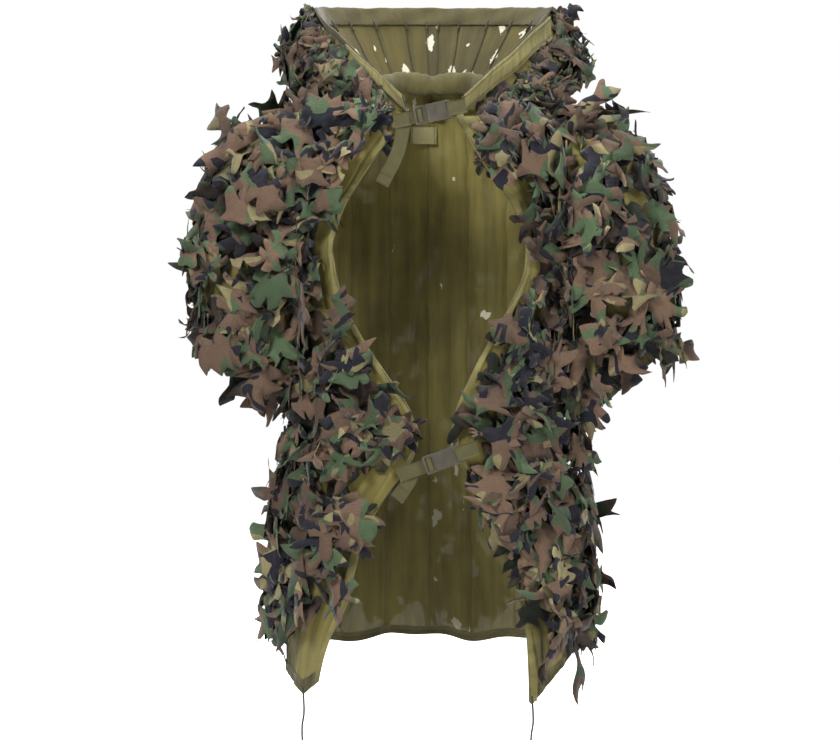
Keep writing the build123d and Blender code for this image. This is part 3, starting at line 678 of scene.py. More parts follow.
# ---------------------------------------------------------------- sleeves
def sleeve_grid(sign, along):
    """Sleeve cloth points round the arm, with soft ripples that grow towards the hem."""
    turn, level = np.meshgrid(np.linspace(0, TURN, 121), along, indexing="ij")
    turn = even_turns(sleeve, level, 0, TURN, turn / (TURN))
    ripple = 5 * np.sin(5 * turn + 1.3) * level + 3.5 * np.sin(9 * turn + 4 * level) * level + 2 * np.sin(14 * turn)
    return sleeve(level, turn, ripple) * np.array([sign, 1, 1])


for side, sign in SIDES:
    cloth = sheet(f"sleeve_cloth_{side}", sleeve_grid(sign, np.linspace(0, 1, 60))[::-sign], loop=True)
    finish_piece(cloth, SLEEVE_CLOTH, SLEEVE_JOINT[side], (f"sleeve_{side}",))
    hem = sleeve_grid(sign, np.linspace(0.955, 1.004, 5)).transpose(1, 0, 2)
    cuff = sheet(f"sleeve_hem_{side}", hem[::sign], 2.6)
    finish_piece(cuff, HEM, SLEEVE_JOINT[side], (f"sleeve_hem_{side}",))

# ---------------------------------------------------------------- hood
angle = np.linspace(math.radians(-61), math.radians(241), 191)
floor, rim = hood_span(angle)


def columns(low, high, top, fold, fade, least):
    """Heights and angles of a grid between two heights on each column, and folds that fade towards a top height."""
    z = low[:, None] + (high - low)[:, None] * np.linspace(0, 1, 40)[None, :]
    turn = angle[:, None] + 0 * z
    return z, turn, folds(turn / 6.28, z, *fold) * np.clip((top[:, None] - z) / fade, least, 1)


shell = sheet("hood_cloth", hood_ring(*columns(floor - 3, rim - 12, rim, (5, 1.6, (6, 11, 16)), 60, 0.15))[::-1])
finish_piece(shell, HOOD_CLOTH, HOOD_JOINT, ("hood_shell",))


def crown_span(turn):
    """Heights of the crown's lower edge and of the rim on each column."""
    base = np.interp(np.abs(np.degrees(turn) - 90), (0, 60, 90, 120, 151), (985, 975, 962, 952, 944))
    _, top = hood_span(turn)
    return base, np.maximum(top, base + 4)


def slack_crown(z, turn, out=0.0):
    """The crown: it leaves the lining at the rim and hangs slack outside it, less so towards its front ends."""
    _, top = crown_span(turn.reshape(-1))
    off = np.abs(np.degrees(turn) - 90)
    free = np.clip((top.reshape(turn.shape) - z) / np.interp(off, (60, 110), (34, 70)), 0, 1)
    free = free ** 1.2 * np.interp(off, (85, 125, 150), (1, 0.5, 0.15))
    inside, outside = hood_ring(z, turn, 2.5 + out), crown_ring(z, turn, out)
    return inside + (outside - inside) * free[..., None]


low, high = crown_span(angle)
crown = sheet("hood_crown", slack_crown(*columns(low, high - 10, high, (31, 4, (5, 9, 13)), 70, 0.05))[::-1])
finish_piece(crown, CROWN_CLOTH, HOOD_JOINT, ("hood_shell",))


def rim_band(turn, low_drop, high_drop, puff, count=23, power=3.2, surface=hood_ring):
    """A puffed casing along the rim between two distances below it, rumpled along its length."""
    _, edge = hood_span(turn)
    place = turn * 150
    rumple = 0.5 * np.sin(place / 9) + 0.4 * np.sin(place / 5.3 + 1) + 0.5 * np.sin(place / 21 + 2)
    rings = []
    for t in np.linspace(0, TURN, count):
        across, through = squircle(np.array([t]), power)
        share = 0.5 + 0.5 * across[0]
        z = edge - low_drop + (low_drop - high_drop) * share + 0.9 * rumple
        slope = 1.8 * np.sin(place / 13 + 3 * share) * np.sin(math.pi * share)
        rings.append(surface(z, turn, through[0] * puff + slope))
    length = np.linspace(0, 900, len(turn))
    uv = np.stack(np.meshgrid(np.linspace(0, 2 * low_drop, count) - low_drop / 2, length, indexing="ij"), -1)
    return np.stack(rings), uv


band, brim_uv = rim_band(angle, BRIM, -1.0, 2.8)
brim = sheet("hood_brim", band, 0.8, uv=brim_uv)
finish_piece(brim, CASING, HOOD_JOINT, ("hood_brim_casing",))


def casing_front(z, turn, out):
    """The casing's front ends lie over the crown's outside."""
    return slack_crown(z, turn, out + 3.5)


# the casing's front ends, turned over and lighter, with their rows of stitching
for side, first, last in (("right", -61, -2), ("left", 205, 241)):
    turn = np.radians(np.linspace(first, last, 60))
    drop = 30 if side == "right" else 20
    band, turned_uv = rim_band(turn, drop, -3.5, 3.2, 27, 2.6, surface=casing_front)
    turned = sheet(f"hood_casing_{side}", band, 0.9, uv=turned_uv)
    finish_piece(turned, CASING_FRONT, HOOD_JOINT)


def thread_line(turn, z, out, radius):
    """A sewn line lying on the hood's inner face."""
    return tube("thread", hood_ring(z, turn, out), radius, radius, 6)


def join(name, pieces):
    """One object out of several, so that a detail is one piece."""
    bpy.ops.object.select_all(action="DESELECT")
    for piece in pieces:
        piece.select_set(True)
    bpy.context.view_layer.objects.active = pieces[0]
    bpy.ops.object.join()
    pieces[0].name = name
    return pieces[0]


# seams of the lining, the brim's sewn edge and the bar tacks across it
SEAMS = (-28, 2, 24, 44, 60, 76, 87, 93, 104, 122, 140, 158, 182, 208)
seams, tacks = [], []
for k, degrees in enumerate(SEAMS):
    turn = np.radians(np.full(6, float(degrees)))
    (low,), (high,) = hood_span(turn[:1])
    if high - BRIM - low < 20:
        continue
    z = np.linspace(low + 2, high - BRIM + 1, 24)
    lean = np.radians(degrees + 0.35 * np.sin(z / 17 + k))
    seams.append(thread_line(lean, z, -2.6, 0.8))
    z = np.linspace(high - BRIM - 9, high - BRIM + 9, 6)
    tacks.append(thread_line(turn, z, -4.4, 1.1))
_, edge = hood_span(angle)
tacks.append(thread_line(angle[4:-4], edge[4:-4] - BRIM + 2, -3.6, 0.7))
for name, lines in (("hood_seams", seams), ("hood_bar_tacks", tacks)):
    finish_piece(join(name, lines), THREAD, HOOD_JOINT)

cord_path = hood_ring(rim - 5, angle, 0.0)
cord = tube("hood_drawcord", cord_path[::2], 1.4, 1.4, 8)
finish_piece(cord, CORD, HOOD_JOINT, ("hood_drawcord",))

# collar roll: a soft tunnel across the back of the neck
t = np.radians(np.linspace(4, 176, 80))
q = np.stack([78 * np.cos(t), 74 * np.sin(t) * math.cos(NECK_RISE),
              NECK_Z + 8 + 74 * np.sin(t) * math.sin(NECK_RISE)], -1)
middle = np.exp(-((t - math.pi / 2) / 0.5) ** 2)
gather = np.exp(-((t - math.pi / 2) / 0.07) ** 2)
q[:, 2] += 3 - 7 * middle
puff = (1 + 0.05 * np.sin(t * 17) + 0.05 * np.sin(t * 41) * middle) * (1 - 0.3 * gather)
roll = tube("collar_roll", q, 9 * puff, 17 * puff, 24, power=2.2)
finish_piece(roll, ROLL, "garment", ("collar_roll",))

# label and hanger loop
label_low, label_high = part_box("neck_label")
sides = [np.linspace(label_low[axis], label_high[axis], 12) / MM for axis in (0, 2)]
lx, lz = np.meshgrid(*sides, indexing="ij")
ly = label_low.y / MM - 1 + 1.2 * np.sin((lx + 8) / 13) + 0.4 * np.cos(lz / 9)
label = sheet("neck_label", np.stack([lx, ly, lz], -1), 0.8)
finish_piece(label, LABEL, "garment", ("neck_label",))

loop_low, loop_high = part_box("hanger_loop")
centre = (loop_low + loop_high) / 2 / MM
around = np.linspace(0, TURN, 49)
radius = (loop_high.z - loop_low.z) / MM / 2 - 0.7
ring = np.stack([0 * around, centre.y + radius * np.cos(around), centre.z + radius * np.sin(around)], -1)
band = np.stack([ring + np.array([x, 0, 0]) for x in np.linspace(-10, 10, 7)], 0)
loop = sheet("hanger_loop", band, 1.2)
finish_piece(loop, WEBBING, "garment", ("hanger_loop",))


# ---------------------------------------------------------------- leaf shapes
def curve_point(a, b, c, d, t):
    """Point at a share t of the way from b to c on the smooth curve through four points."""
    return 0.5 * (2 * b + (c - a) * t + (2 * a - 5 * b + 4 * c - d) * t * t + (3 * b - a - 3 * c + d) * t ** 3)


def spline_closed(points, steps):
    """Smooth closed curve through points."""
    p = np.asarray(points, float)
    out = []
    for k in range(len(p)):
        a, b, c, d = p[k - 1], p[k], p[(k + 1) % len(p)], p[(k + 2) % len(p)]
        for t in np.arange(steps) / steps:
            out.append(curve_point(a, b, c, d, t) * 0.6 + 0.4 * (b + (c - b) * t))
    return np.array(out)


def lobed(lobes, valley, wrist):
    """Cut-cloth leaf with round-ended lobes: (angle in degrees, length, half width) each, on a short stem."""
    points = [(-wrist, 0.0)]
    middle = 0.34
    for k, (turn, length, half) in enumerate(lobes):
        a = math.radians(turn)
        out, across = (math.sin(a), math.cos(a)), (math.cos(a), -math.sin(a))
        if k:
            mid = math.radians((turn + lobes[k - 1][0]) / 2)
            points.append((math.sin(mid) * valley, middle + math.cos(mid) * valley))
        for far, wide in ((0.6, -1.0), (0.86, -0.7), (1.04, -0.06), (0.88, 0.6), (0.52, 1.05)):
            reach = max(length * far, valley * 1.05)
            points.append((out[0] * reach + across[0] * wide * half,
                           middle + out[1] * reach + across[1] * wide * half))
    points.append((wrist, 0.0))
    return points


def oak(lobes, width, waist, skew):
    """Leaf with round lobes in pairs along a midrib and a blunt tip."""
    left, right = [], []
    for k in range(lobes):
        for out, side in ((left, -1), (right, 1)):
            at = (k + 0.7 + 0.2 * side * skew) / (lobes + 0.7)
            size = width * (0.72 + 0.28 * math.sin(math.pi * at)) * (1 + 0.2 * side * skew)
            step = 0.5 / (lobes + 0.7)
            out.append((side * size * 0.8, at - 0.34 * step))
            out.append((side * size, at + 0.2 * step))
            out.append((side * size * 0.82, at + 0.62 * step))
            out.append((side * size * waist, at + step))
    tip = [(-0.09, 0.98), (0.0, 1.05), (0.1, 0.97)]
    return [(-0.07, 0.0), (-0.06, 0.16)] + left + tip + right[::-1] + [(0.06, 0.15), (0.07, 0.0)]


def strip_leaf(width, notch):
    """Long narrow cut with a wavy side and a forked end."""
    return [(-width, 0.0), (-width * 1.2, 0.3), (-width * 0.8, 0.55), (-width * 1.4, 0.86), (-width * 0.9, 1.02),
            (0.0, 1.0 - notch), (width * 1.1, 1.05), (width * 1.3, 0.85), (width * 0.7, 0.5), (width * 1.1, 0.26),
            (width, 0.0)]


OUTLINES = [
    lobed([(-66, 0.46, 0.09), (0, 0.66, 0.11), (62, 0.50, 0.09)], 0.17, 0.17),
    lobed([(-104, 0.34, 0.07), (-50, 0.50, 0.08), (2, 0.66, 0.10), (52, 0.52, 0.08), (106, 0.33, 0.07)], 0.18, 0.12),
    lobed([(-84, 0.44, 0.08), (-30, 0.58, 0.08), (28, 0.62, 0.08), (82, 0.40, 0.08)], 0.19, 0.15),
    oak(3, 0.34, 0.42, 0.5),
    oak(2, 0.38, 0.45, -0.6),
    oak(4, 0.30, 0.45, 0.2),
    lobed([(-46, 0.50, 0.10), (34, 0.66, 0.11)], 0.17, 0.18),
    lobed([(-118, 0.30, 0.08), (-70, 0.46, 0.07), (-24, 0.62, 0.08), (22, 0.66, 0.09), (68, 0.44, 0.08),
           (112, 0.32, 0.08)], 0.24, 0.13),
    strip_leaf(0.13, 0.16),
    oak(3, 0.42, 0.32, -0.3),
    lobed([(-40, 0.52, 0.08), (6, 0.62, 0.07), (58, 0.52, 0.09), (116, 0.3, 0.07)], 0.17, 0.15),
    lobed([(-74, 0.34, 0.10), (-6, 0.66, 0.13), (80, 0.32, 0.09)], 0.18, 0.2),
]
LEAF_CELL = 0.16


def leaf_template(outline):
    """Triangles of one flat leaf of unit length, with inner points so that it can bend."""
    curve = spline_closed(outline, 3)
    low, high = curve.min(0), curve.max(0)
    inner = []
    row = 0
    y = low[1] + LEAF_CELL * 0.5
    while y < high[1]:
        x = low[0] + (LEAF_CELL / 2 if row % 2 else 0)
        while x < high[0]:
            if np.linalg.norm(curve - (x, y), axis=1).min() > LEAF_CELL * 0.45:
                inner.append((x, y))
            x += LEAF_CELL
        y += LEAF_CELL * 0.87
        row += 1
    points = [Vector(p) for p in list(curve) + inner]
    count = len(curve)
    found, _, faces, _, _, _ = delaunay_2d_cdt(points, [], [list(range(count))], 1, 1e-6)
    flat = np.array([tuple(p) for p in found])
    tris = np.array([f for f in faces if len(f) == 3], int)
    used = np.unique(tris)
    remap = np.full(len(flat), -1)
    remap[used] = np.arange(len(used))
    flat, tris = flat[used], remap[tris]
    a, b, c = flat[tris[:, 0]], flat[tris[:, 1]], flat[tris[:, 2]]
    area = (b[:, 0] - a[:, 0]) * (c[:, 1] - a[:, 1]) - (b[:, 1] - a[:, 1]) * (c[:, 0] - a[:, 0])
    tris[area < 0] = tris[area < 0][:, ::-1]
    directed = dict.fromkeys((tri[k], tri[(k + 1) % 3]) for tri in tris for k in range(3))
    return flat, tris, np.array([e for e in directed if (e[1], e[0]) not in directed])


shears = np.random.default_rng(77)
TEMPLATES = []
for outline in OUTLINES + OUTLINES:
    cut_points = np.array(outline, float)
    cut_points[1:-1] += shears.normal(0, 0.026, cut_points[1:-1].shape)
    TEMPLATES.append(leaf_template(cut_points))
LEAF_THICK = 0.7
CLEAR, SOFTEN = 2.0, 4.0


def hold_off(height, reach):
    """Bends heights above the cloth smoothly into the space from just above it to the cover's reach."""
    lifted = CLEAR + SOFTEN * np.logaddexp(0, (height - CLEAR) / SOFTEN)
    free = 0.55 * reach
    return np.where(lifted < free, lifted, reach - (reach - free) * np.exp(-(lifted - free) / (reach - free)))


ROOM = 0.03  # share of each side that soft covers may stand proud of the CAD box, less a little
BOX_LOW, BOX_HIGH = (np.array(corner) / MM for corner in cad_box)
BOX_GROW = (BOX_HIGH - BOX_LOW) * ROOM + 6


def kept(points, excess, axis, direction):
    """Moves whole leaves back along an axis by each leaf's largest excess over a limit."""
    points = points.copy()
    points[..., axis] -= direction * np.maximum(excess.max(1), 0)[:, None]
    return points


def kept_in_box(points):
    """Moves whole leaves back into the space around the CAD box that soft covers may use."""
    for axis in range(3):
        points = kept(points, points[..., axis] - (BOX_HIGH + BOX_GROW)[axis], axis, 1)
        points = kept(points, (BOX_LOW - BOX_GROW)[axis] - points[..., axis], axis, -1)
    return points


def curled(flat, wide, flip, bend, cup, twist, wave, curl, phase):
    """Points of unit leaves cut to one outline, each leaf with its own bend, cup, twist and ripple, and how far each
    point is turned by the bend."""
    x = flat[None, :, 0] * wide * flip
    y = flat[None, :, 1] + 0 * x
    lift = cup * x * x + wave * np.sin(7 * y + 5 * x + phase)
    lift += 0.6 * wave * np.sin(13 * x - 6 * y + 2 * phase)
    lift += curl * np.maximum(np.hypot(x, y - 0.34) - 0.3, 0) ** 2 * 6 * np.sin(3 * x + phase)
    turn, arc, radius = twist * y, bend * y, 1 / bend
    across = x * np.cos(turn) - lift * np.sin(turn)
    lift = x * np.sin(turn) + lift * np.cos(turn)
    return np.stack([across, radius * np.sin(arc) + lift * np.sin(arc),
                     -radius * (1 - np.cos(arc)) + lift * np.cos(arc)], -1), arc


def grow_leaves(name, root, anchor, normal, down, size, tilt, spread, reach, seed, limit=None):
    """One mesh of many leaves: each has its base at an anchor and hangs along down, lifted by tilt and turned by
    spread, and keeps between its root on the cloth and the cover's reach."""
    draw = np.random.default_rng(seed)
    count = len(anchor)
    side = np.cross(normal, down)
    tilt = np.radians(tilt)[:, None]
    spread = np.radians(spread)[:, None]
    flow = down * np.cos(spread) + side * np.sin(spread)
    along = flow * np.cos(tilt) + normal * np.sin(tilt)
    face = normal * np.cos(tilt) - flow * np.sin(tilt)
    roll = np.radians(draw.normal(0, 26, count))[:, None]
    face = face * np.cos(roll) + np.cross(along, face) * np.sin(roll)
    cross = np.cross(along, face)
    kind = draw.integers(0, len(TEMPLATES), count)
    bend = draw.normal(0.35, 0.75, count)
    bend = np.where(np.abs(bend) < 0.08, 0.08, bend)
    cup, twist = draw.normal(0.0, 0.55, count), draw.normal(0, 0.6, count)
    wave, curl = draw.uniform(0.02, 0.075, count), draw.normal(0, 0.16, count)
    phase, wide = draw.uniform(0, 6.28, count), draw.uniform(0.85, 1.2, count)
    flip = draw.choice((-1.0, 1.0), count)
    loose = draw.uniform(0.5, 1.0, count)
    print_at, print_turn = draw.uniform(0, 40, (count, 2)), draw.uniform(0, 6.28, count)
    all_points, all_faces, all_smooth, all_camo, all_depth = [], [], [], [], []
    base = 0

    def above(points, pick):
        """Heights of points above the cloth at their leaf's root."""
        return np.einsum("nvj,nj->nv", points - root[pick][:, None], normal[pick])

    for k, (flat, tris, border) in enumerate(TEMPLATES):
        pick = np.where(kind == k)[0]
        if not len(pick):
            continue
        look = [values[pick, None] for values in (wide, flip, bend, cup, twist, wave, curl, phase)]
        local, arc = curled(flat, *look)
        axes = np.stack([cross[pick], along[pick], face[pick]], 1)
        world = anchor[pick][:, None] + np.einsum("nvk,nkj->nvj", local * size[pick, None, None], axes)
        if limit is not None:
            world = limit(world)
        height = above(world, pick)
        world = world + (hold_off(height, reach * loose[pick, None]) - height)[..., None] * normal[pick][:, None]
        if limit is not None:
            world = limit(world)
        world = kept_in_box(world)
        lean = np.stack([0 * arc, np.sin(arc), np.cos(arc)], -1)
        shift = np.einsum("nvk,nkj->nvj", lean, axes) * LEAF_THICK / 2
        m = len(flat)
        start = base + np.arange(len(pick))[:, None, None] * 2 * m
        i, j = border[:, 0], border[:, 1]
        rim = np.concatenate([np.stack([j, i, i + m], 1), np.stack([j, i + m, j + m], 1)])
        for block, flag in ((tris, True), (tris[:, ::-1] + m, True), (rim, False)):
            block = block[None] + start
            block = np.where((flip[pick] < 0)[:, None, None], block[:, :, ::-1], block).reshape(-1, 3)
            all_faces.append(block)
            all_smooth.append(np.full(len(block), flag))
        c, s = np.cos(print_turn[pick])[:, None], np.sin(print_turn[pick])[:, None]
        px, py = (flat[None, :, axis] * size[pick, None] * MM for axis in (0, 1))
        camo = np.stack([px * c - py * s + print_at[pick, :1], px * s + py * c + print_at[pick, 1:],
                         np.repeat(pick[:, None] * 1.37, m, 1)], -1)
        # the height above the cloth, as a share of the reach, is kept as the depth attribute, which drives the
        # leaves' painted shade
        height = above(world, pick)
        all_depth.append(np.concatenate([height, height], 1).reshape(-1) / reach)
        all_camo.append(np.concatenate([camo, camo], 1).reshape(-1, 3))
        all_points.append(np.concatenate([world + shift, world - shift], 1).reshape(-1, 3))
        base += len(all_points[-1])
    made = mesh_object(name, np.concatenate(all_points), np.concatenate(all_faces), np.concatenate(all_smooth),
                       vectors=np.concatenate(all_camo))
    depth = made.data.attributes.new("depth", "FLOAT", "POINT")
    depth.data.foreach_set("value", np.concatenate(all_depth).astype(np.float32))
    return made


def surface_frame(shape, p, q, eps=2.0, centre=None):
    """Point, outward normal and downward direction of a surface function at parameters p (height-like), q (angle);
    outward is away from a centre, or from the garment's upright middle line."""
    here = shape(p, q)
    dp = shape(p + eps, q) - here
    dq = shape(p, q + 0.01) - here
    normal = np.cross(dp, dq)
    normal /= np.linalg.norm(normal, axis=1, keepdims=True)
    down = np.array([0.0, 0.0, -1.0]) - normal * (normal @ np.array([0.0, 0.0, -1.0]))[:, None]
    down += normal * 1e-6
    down /= np.maximum(np.linalg.norm(down, axis=1, keepdims=True), 1e-6)
    away = here * (1, 1, 0) if centre is None else here - centre
    return here, normal * np.sign((normal * away).sum(1))[:, None], down


def draw_leaves(name, here, normal, down, seed, lift=(2, 20), sizes=(54, 104), tilts=(-6, 54), reach=45, limit=None):
    """Leaves of random size, direction and lift on the given places."""
    draw = np.random.default_rng(seed)
    count = len(here)
    size = draw.uniform(sizes[0], sizes[1], count)
    anchor = here + normal * draw.uniform(lift[0], lift[1], count)[:, None] - down * size[:, None] * 0.3
    tilt = draw.uniform(tilts[0], tilts[1], count)
    spread = draw.normal(0, 62, count)
    return grow_leaves(name, here, anchor, normal, down, size, tilt, spread, reach, seed + 1, limit)


BANDS = 8  # leaf bands between a joint's two bodies
RAMP = 40  # length of a band's blend in joint lengths


def cover(name, here, normal, down, seed, nodes, joint, **look):
    """Leaf cover over a joint's cloth, grown in bands; the leaves before the joint ride on its first body and those
    past it on its second."""
    body_a, body_b, start, end = joint
    start, end = np.array(start, float), np.array(end, float)
    span = end - start
    place = np.clip(((here * MM - start) @ span) / (span @ span), 0, 1)
    group = np.where(place <= 0, -1, np.where(place >= 1, BANDS, np.minimum(place * BANDS, BANDS - 1))).astype(int)
    for k in range(-1, BANDS + 1):
        pick = group == k
        if not pick.any():
            continue
        leaves = draw_leaves(f"{name}_{k + 2}", here[pick], normal[pick], down[pick], seed + 10 * (k + 1), **look)
        follows = body_a if k < 0 else body_b
        if 0 <= k < BANDS:
            share = (k + 0.5) / BANDS
            middle = start + span * share
            ramp = middle - span * RAMP * share, middle + span * RAMP * (1 - share)
            follows = (body_a, body_b, *map(tuple, ramp))
        finish_piece(leaves, LEAF, follows, nodes)


def strips(width, height, pitch, step, draw):
    """Anchor places along vertical strips: distances across and up, in mm."""
    places = []
    for k in range(int(width / pitch) + 1):
        x = (k + 0.5) * width / (int(width / pitch) + 1)
        z = draw.uniform(0, step)
        while z < height:
            places.append((x + draw.normal(0, pitch * 0.22), z))
            z += step * draw.uniform(0.6, 1.4)
    return np.array(places)


def clear_of_sleeve(here):
    """Which places on the body lie clear of the sleeves."""
    return (np.abs(here[:, 0]) < 188) | (here[:, 2] < 470)


# limits of the leaves, each as two rows to read one from the other
BACK_HEM = (110, 175), (HEM_Z + 8, HEM_Z - 60)  # distance from the middle, least height
NECKLINE = (36, 60, 92, 130), (890, 936, 966, 1002)  # distance from the middle, most height
OVERHANG = (380, 430, 480, 560, 850, 900, 960), (24, 12, 20, 24, 14, 2, -12)  # height, distance past the opening
SHOULDER = (720, 790, 850, 920), (397, 376, 354, 335)  # height, distance from the middle
RIM_BEHIND = (150, 195), (-12, 8)  # distance from the middle, height past the rim
BARE_NECK = 66, 906  # no front leaves are rooted this near the middle above this height
BY_TAIL = 835, 945, -20  # heights beside the neck tail, and the overhang there
BUCKLE_ROOM = 58  # free half width round the neck buckle
BACK_WIDTH = 620  # round the back from side seam to side seam
SLEEVE_ROWS, FRONT_ROWS, HOOD_COLUMNS = 19, 16, 46
HOOD_LEVELS = (0.04, 0.11, 0.18, 0.25, 0.32, 0.39, 0.47, 0.6, 0.71, 0.81, 0.89, 0.95, 1.0, 1.03)

# back
draw = np.random.default_rng(100)
places = strips(BACK_WIDTH, 985 - LEAF_HEM_Z, 36, 27, draw)
z = np.minimum(LEAF_HEM_Z + 10 + places[:, 1], 936)
turn = even_turns(torso, z, math.pi, 0, np.clip(places[:, 0] / BACK_WIDTH, 0.01, 0.99))
here, normal, down = surface_frame(torso, z, turn)
keep = clear_of_sleeve(here)


def above_hem(points):
    """Back leaves end above the hem in its middle and hang past it only at the sides."""
    return kept(points, np.interp(np.abs(points[..., 0]), *BACK_HEM) - points[..., 2], 2, -1)


leaves = draw_leaves("leaves_back", here[keep], normal[keep], down[keep], 101, limit=above_hem)
finish_piece(leaves, LEAF, "garment", ("leaf_cover_back",))

# fronts and skirts
for side, sign in SIDES:
    draw = np.random.default_rng(200 + sign)
    z = np.array([])
    turns = np.array([])
    for k in range(FRONT_ROWS):
        column = np.arange(LEAF_HEM_Z - 5, 958, 27)
        column = column + draw.uniform(-9, 9, len(column))
        edge_turn = front_angle(side, column, edge_x(side, column) + sign * 20)
        side_turn = TURN if side == "right" else math.pi
        share = np.clip((k + draw.uniform(-0.4, 0.9, len(column))) / (FRONT_ROWS - 0.5), 0, 1)
        width = np.abs(soft(column, TORSO, 1) - np.abs(edge_x(side, column)))
        keep = draw.uniform(0, 1, len(column)) < 0.9 * np.clip(width / 170, 0.4, 1.0)
        z = np.concatenate([z, column[keep]])
        spread_turn = even_turns(torso, column, edge_turn, side_turn + 0 * edge_turn, share)
        turns = np.concatenate([turns, spread_turn[keep]])
    here, normal, down = surface_frame(torso, z, turns)
    keep = clear_of_sleeve(here) & ~((here[:, 2] > BARE_NECK[1]) & (np.abs(here[:, 0]) < BARE_NECK[0]))

    def beside_opening(points):
        """Front leaves hang a little past the opening's edge and stay clear of the waist strap."""
        points = kept(points, points[..., 2] - np.interp(np.abs(points[..., 0]), *NECKLINE), 2, 1)
        overhang = np.interp(points[..., 2], *OVERHANG)
        if side == "left":
            low, high, held = BY_TAIL
            overhang = np.where((points[..., 2] > low) & (points[..., 2] < high), held, overhang)
        most = -sign * edge_x(side, points[..., 2]) + overhang
        points = kept(points, -sign * points[..., 0] - most, 0, -sign)
        waist = BUCKLES["waist"]
        reach_x = (waist["strap"] if side == "left" else waist["fixed"] + 22) + 8
        line = waist["at"][2] + math.tan(math.radians(waist["tilt"])) * (points[..., 0] - waist["at"][0])
        near = np.abs(points[..., 0]) < reach_x
        upper = (points[..., 2].mean(1) > line.mean(1))[:, None]
        below = 58 if side == "left" else 22
        points = kept(points, np.where(near & upper, line + 17 - points[..., 2], -1), 2, -1)
        return kept(points, np.where(near & ~upper, points[..., 2] - line + below, -1), 2, 1)

    cover(f"leaves_front_{side}", here[keep], normal[keep], down[keep], 2100 + 100 * sign,
          (f"leaf_cover_front_{side}", f"leaf_cover_skirt_{side}"), SKIRT_JOINT[side], limit=beside_opening)

# sleeves
for side, sign in SIDES:
    draw = np.random.default_rng(300 + sign)
    s, turns = [], []
    for k in range(SLEEVE_ROWS):
        for level in np.linspace(0.0, 0.93, 15):
            s.append(np.clip(level + draw.normal(0, 0.025), 0, 0.99))
            turns.append((k + draw.uniform(0, 1)) / SLEEVE_ROWS * TURN)
    s = np.array(s)
    turns = even_turns(sleeve, s, 0, TURN, np.array(turns) / TURN)
    centre = np.stack([soft(s, SLEEVE, 1, 0.06), 0 * s, soft(s, SLEEVE, 2, 0.06)], -1)
    here, normal, down = surface_frame(sleeve, s, turns, 0.01, centre)
    under_arm = (np.cos(turns) < -0.55) & (here[:, 2] > 560)
    keep = ~under_arm & (here[:, 0] > 186)
    here, normal, down = here[keep], normal[keep], down[keep]
    turned = normal + np.array([0, 0.8, 0]) * np.sign(here[:, 1:2]) * np.clip(normal[:, 2:3], 0, 1)
    turned /= np.linalg.norm(turned, axis=1, keepdims=True)
    down = down - turned * (down * turned).sum(1)[:, None]
    down /= np.linalg.norm(down, axis=1, keepdims=True)
    flip = np.array([sign, 1, 1])

    def under_shoulder(points):
        """Sleeve leaves lie closer to the shoulder than to the elbow."""
        return kept(points, sign * points[..., 0] - np.interp(points[..., 2], *SHOULDER), 0, sign)

    cover(f"leaves_sleeve_{side}", here * flip, turned * flip, down * flip, 1310 + 100 * sign,
          (f"leaf_cover_sleeve_{side}",), SLEEVE_JOINT[side], reach=42, limit=under_shoulder)


def under_rim(points):
    """Hood leaves stay just under the rim at the back, pass it at the far sides, come up to it on the left front
    and leave the casing bare on the right front."""
    x, y = points[..., 0], points[..., 1]
    side = np.sign(x.mean(1))[:, None]
    by_buckle = (y < -50) & (points[..., 2] < 985)
    points = kept(points, np.where(by_buckle, BUCKLE_ROOM - side * x, -1), 0, -side)
    x = points[..., 0]
    rim_z = np.interp(y, RIM[:, 0], RIM[:, 1])
    behind = np.interp(np.abs(x), *RIM_BEHIND)
    ahead = np.where(x > 0, -22, 6)
    share = np.interp(y, (0, 50), (0, 1))
    return kept(points, points[..., 2] - (rim_z + ahead + (behind - ahead) * share), 2, 1)


# hood: in rings on the slack crown, closest together along the rim
draw = np.random.default_rng(400)
turns, levels = [], []
for level in HOOD_LEVELS:
    for k in range(HOOD_COLUMNS):
        turns.append(math.radians(-59 + 298 * (k + draw.uniform(0, 1)) / HOOD_COLUMNS))
        levels.append(level + draw.normal(0, 0.025))
turns, levels = np.array(turns), np.clip(np.array(levels), 0.03, 1.0)
low, high = crown_span(turns)
z = low + (high - 5 - low) * levels
here, normal, down = surface_frame(slack_crown, z, turns, -2.0)
cover("leaves_hood", here, normal, down, 1610, ("leaf_cover_hood",), HOOD_JOINT, lift=(2, 16), sizes=(42, 86),
      tilts=(-5, 46), reach=32, limit=under_rim)


# ---------------------------------------------------------------- buckles and webbing
def ribbon(name, path, up, width=WEB_WIDTH, thick=WEB):
    """A strap of flat section along a path; up is the direction across its width."""
    path = np.asarray(path, float)
    up = np.broadcast_to(np.asarray(up, float), path.shape)
    band = np.stack([path + up * d for d in np.linspace(-width / 2, width / 2, 9)])
    return sheet(name, band, thick)


def bow(points, steps=8):
    """Smooth open curve through points."""
    p = np.asarray(points, float)
    p = np.vstack([2 * p[0] - p[1], p, 2 * p[-1] - p[-2]])
    out = []
    for k in range(1, len(p) - 2):
        out += [curve_point(*p[k - 1:k + 3], t) for t in np.arange(steps) / steps]
    return np.array(out + [p[-2]])


for prefix in BUCKLES:
    for part in ("female", "male", "prong_upper", "prong_lower"):
        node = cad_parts[f"{prefix}_buckle_{part}"]
        node.data.materials.clear()
        node.data.materials.append(PLASTIC)

